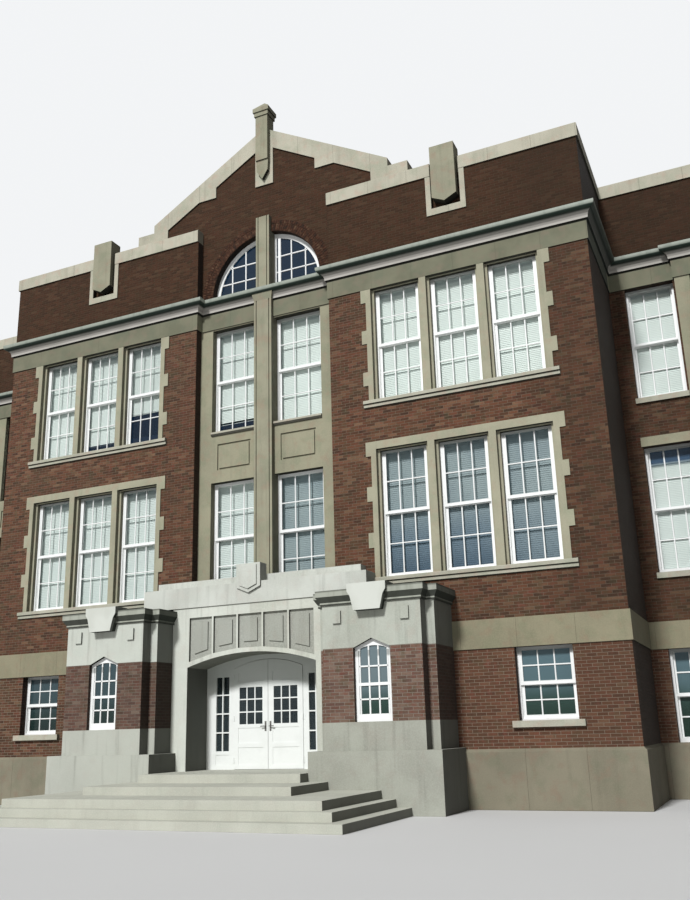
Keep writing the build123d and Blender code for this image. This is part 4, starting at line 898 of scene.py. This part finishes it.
pale, grey, middle, grey_middle = [], [], [], []
for side in (-1, 1):
    for storey, (sill, head) in enumerate((SECOND, THIRD)):
        is_grey = (side, storey) == GREY_AT
        for k, share in enumerate(HUNG[side, storey]):
            x = side * GROUP_X + (k - 1) * PITCH
            place = drawn(x, REVEAL, sill, head, share, GROUP_BLIND[1])
            (grey if is_grey else pale).append(place)
        place = drawn(side * MID_X, RECESS + REVEAL, sill, head - MID_LOWER[storey],
                      HUNG_MIDDLE[side, storey], MIDDLE_BLIND[1])
        (grey_middle if is_grey else middle).append(place)
finished(set_out("front_blinds", blind(*GROUP_BLIND), pale), pale_blind)
finished(set_out("front_grey_blinds", blind(*GROUP_BLIND), grey), grey_blind)
finished(set_out("middle_blinds", blind(*MIDDLE_BLIND), middle), pale_blind)
finished(set_out("middle_grey_blind", blind(*MIDDLE_BLIND), grey_middle),
         grey_blind)

# %% Blinds of the plain windows
WING_SHORT = 0.35

others = []
for x, y, turn, sill, head in plain_rows:
    if (sill, head) != LOW_PLAIN:
        top = WING_SHORT if (sill, head) == SECOND and turn == 0 else 0.0
        inward = at(x, y, head - HEAD_GAP - top, turn) @ Matrix.Translation((0, BLIND_BACK, 0))
        squeeze = (head - sill - BLIND_SPARE - top) / GROUP_BLIND[1]
        others.append(inward @ Matrix.Diagonal((1, 1, squeeze, 1)))
finished(set_out("wing_blinds", blind(*GROUP_BLIND), others), pale_blind)

# %% [markdown]
# ## The brick arch
# Round the lunette a mason turned an arch of bricks on end, with a second ring of
# headers over it. One brick is shaped, straight-sided as a real one, with the edges of
# its face taken off, and copies are set out round the centre, a joint apart.

# %% Bricks of the arch
ARCH_FACE, ARCH_BACK, ARCH_JOINT, ARCH_CHAMFER = RECESS - 0.010, RECESS + 0.05, 0.010, 0.006
INNER_RING, OUTER_RING = (1.624, 0.213, 0.058), (1.847, 0.102, 0.062)


def brick_ring(name, inner, deep, width, material):
    """Half a circle of bricks, from their inner radius, their depth along it and their width."""
    count = int(pi * inner / (width + ARCH_JOINT))
    turn = pi / count
    brick = slab(-width / 2, width / 2, ARCH_FACE, ARCH_BACK, inner, inner + deep, ARCH_CHAMFER)
    places = []
    for i in range(count):
        angle = (i + 0.5) * turn - pi / 2
        places.append(Matrix.Translation((0, 0, LUNETTE_Z)) @ Matrix.Rotation(-angle, 4, "Y"))
    finished(set_out(name, brick, places), material)


arch_tones = [(place, [c * 0.5 for c in colour]) for place, colour in BRICK_TONES]


def arch_brick_finish():
    """Bricks of the arch vary one by one, so their tone comes from coarse noise."""
    f = Finish("arch_brick", Specular_IOR_Level=0.25)
    grain, patch = f.noise(34, 4), f.noise(9, 1)
    colour = f.ramp(f.step(patch, 0.3, 0.7) + (grain - 0.5) * 0.4, arch_tones)
    return f.use(Base_Color=colour, Roughness=0.86 + grain * 0.1, Normal=f.relief(grain, 0.003))


arch_brick = arch_brick_finish()
brick_ring("lunette_arch_bricks", *INNER_RING, arch_brick)
brick_ring("lunette_outer_bricks", *OUTER_RING, arch_brick)

# %% [markdown]
# ## Camera
# The camera stands at eye height to the right of the entrance and looks up, a little
# askew. Place, turn and lens were measured from the building's own straight lines.

# %% Camera
EYE = Vector((10.755, -18.942, 1.598))
YAW, PITCH_UP, ROLL = radians(24.2528), radians(15.9716), radians(-1.5379)
LENS, SENSOR, SHIFT_X, SHIFT_Y, FAR = 36.41, 36.0, 0.0028, 0.0229, 500

ahead = Vector((-sin(YAW) * cos(PITCH_UP), cos(YAW) * cos(PITCH_UP), sin(PITCH_UP)))
level = Vector((cos(YAW), sin(YAW), 0))
plumb = level.cross(ahead)
right = cos(ROLL) * level + sin(ROLL) * plumb
up = -sin(ROLL) * level + cos(ROLL) * plumb
lens = bpy.data.cameras.new("camera")
lens.lens, lens.sensor_width, lens.clip_end = LENS, SENSOR, FAR
lens.shift_x, lens.shift_y = SHIFT_X, SHIFT_Y
camera = bpy.data.objects.new("camera", lens)
camera.matrix_world = Matrix.Translation(EYE) @ Matrix((right, up, -ahead)).transposed().to_4x4()
bpy.context.scene.collection.objects.link(camera)
bpy.context.scene.camera = camera
print("camera at", tuple(EYE))

# %% [markdown]
# ## Light and floor
# A wide pale floor and a plain pale backdrop stand in for a studio. One soft lamp from the
# left front models the relief, and a dim even light fills the shadows. The backdrop is
# bright only for rays that see it directly or in glass, so it adds nothing to the light.

# %% Backdrop and fill
FILL, BACKDROP, PALE_BLUE = 0.28, 0.92, (0.97, 0.985, 1.0, 1)


def studio_backdrop():
    """A world that is pale to look at and dimmer as a light."""
    world = bpy.data.worlds.new("backdrop")
    bpy.context.scene.world = world
    world.use_nodes = True
    tree = world.node_tree
    rays = tree.nodes.new("ShaderNodeLightPath")
    seen = rays.outputs["Is Camera Ray"]
    for other in ("Is Glossy Ray", "Is Transmission Ray"):
        either = tree.nodes.new("ShaderNodeMath")
        either.operation = "MAXIMUM"
        tree.links.new(seen, either.inputs[0])
        tree.links.new(rays.outputs[other], either.inputs[1])
        seen = either.outputs[0]
    strength = tree.nodes.new("ShaderNodeMapRange")
    strength.inputs["To Min"].default_value = FILL
    strength.inputs["To Max"].default_value = BACKDROP
    tree.links.new(seen, strength.inputs[0])
    background = tree.nodes["Background"]
    background.inputs["Color"].default_value = PALE_BLUE
    tree.links.new(strength.outputs[0], background.inputs["Strength"])
    print("backdrop", BACKDROP, "fill", FILL)


studio_backdrop()
bpy.context.scene.view_settings.view_transform = "Standard"

# %% Soft lamp from the left front
LAMP_STRENGTH, LAMP_SPREAD, LAMP_WAY = 3.25, radians(8), Vector((0.08, 0.785, -0.61))

lamp = bpy.data.lights.new("key", "SUN")
lamp.energy, lamp.angle = LAMP_STRENGTH, LAMP_SPREAD
key = bpy.data.objects.new("key", lamp)
key.rotation_euler = LAMP_WAY.to_track_quat("-Z", "Y").to_euler()
bpy.context.scene.collection.objects.link(key)
print("lamp along", tuple(LAMP_WAY))

# %% Floor
FLOOR_SIZE, FLOOR_Z = 240, -0.002

pick_nothing()
bpy.ops.mesh.primitive_grid_add(x_subdivisions=8, y_subdivisions=8, size=FLOOR_SIZE,
                                location=(0, 0, FLOOR_Z))
floor = bpy.context.object
floor.name = "studio_floor"


def floor_finish():
    """Pale matt floor with a faint cloud in it."""
    f = Finish("studio_floor", Roughness=0.9)
    return f.use(Base_Color=f.mix(f.noise(0.2, 2), (0.64, 0.64, 0.635), (0.60, 0.60, 0.595)))


floor.data.materials.append(floor_finish())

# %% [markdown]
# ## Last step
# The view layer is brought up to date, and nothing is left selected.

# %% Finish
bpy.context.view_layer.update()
pick_nothing()
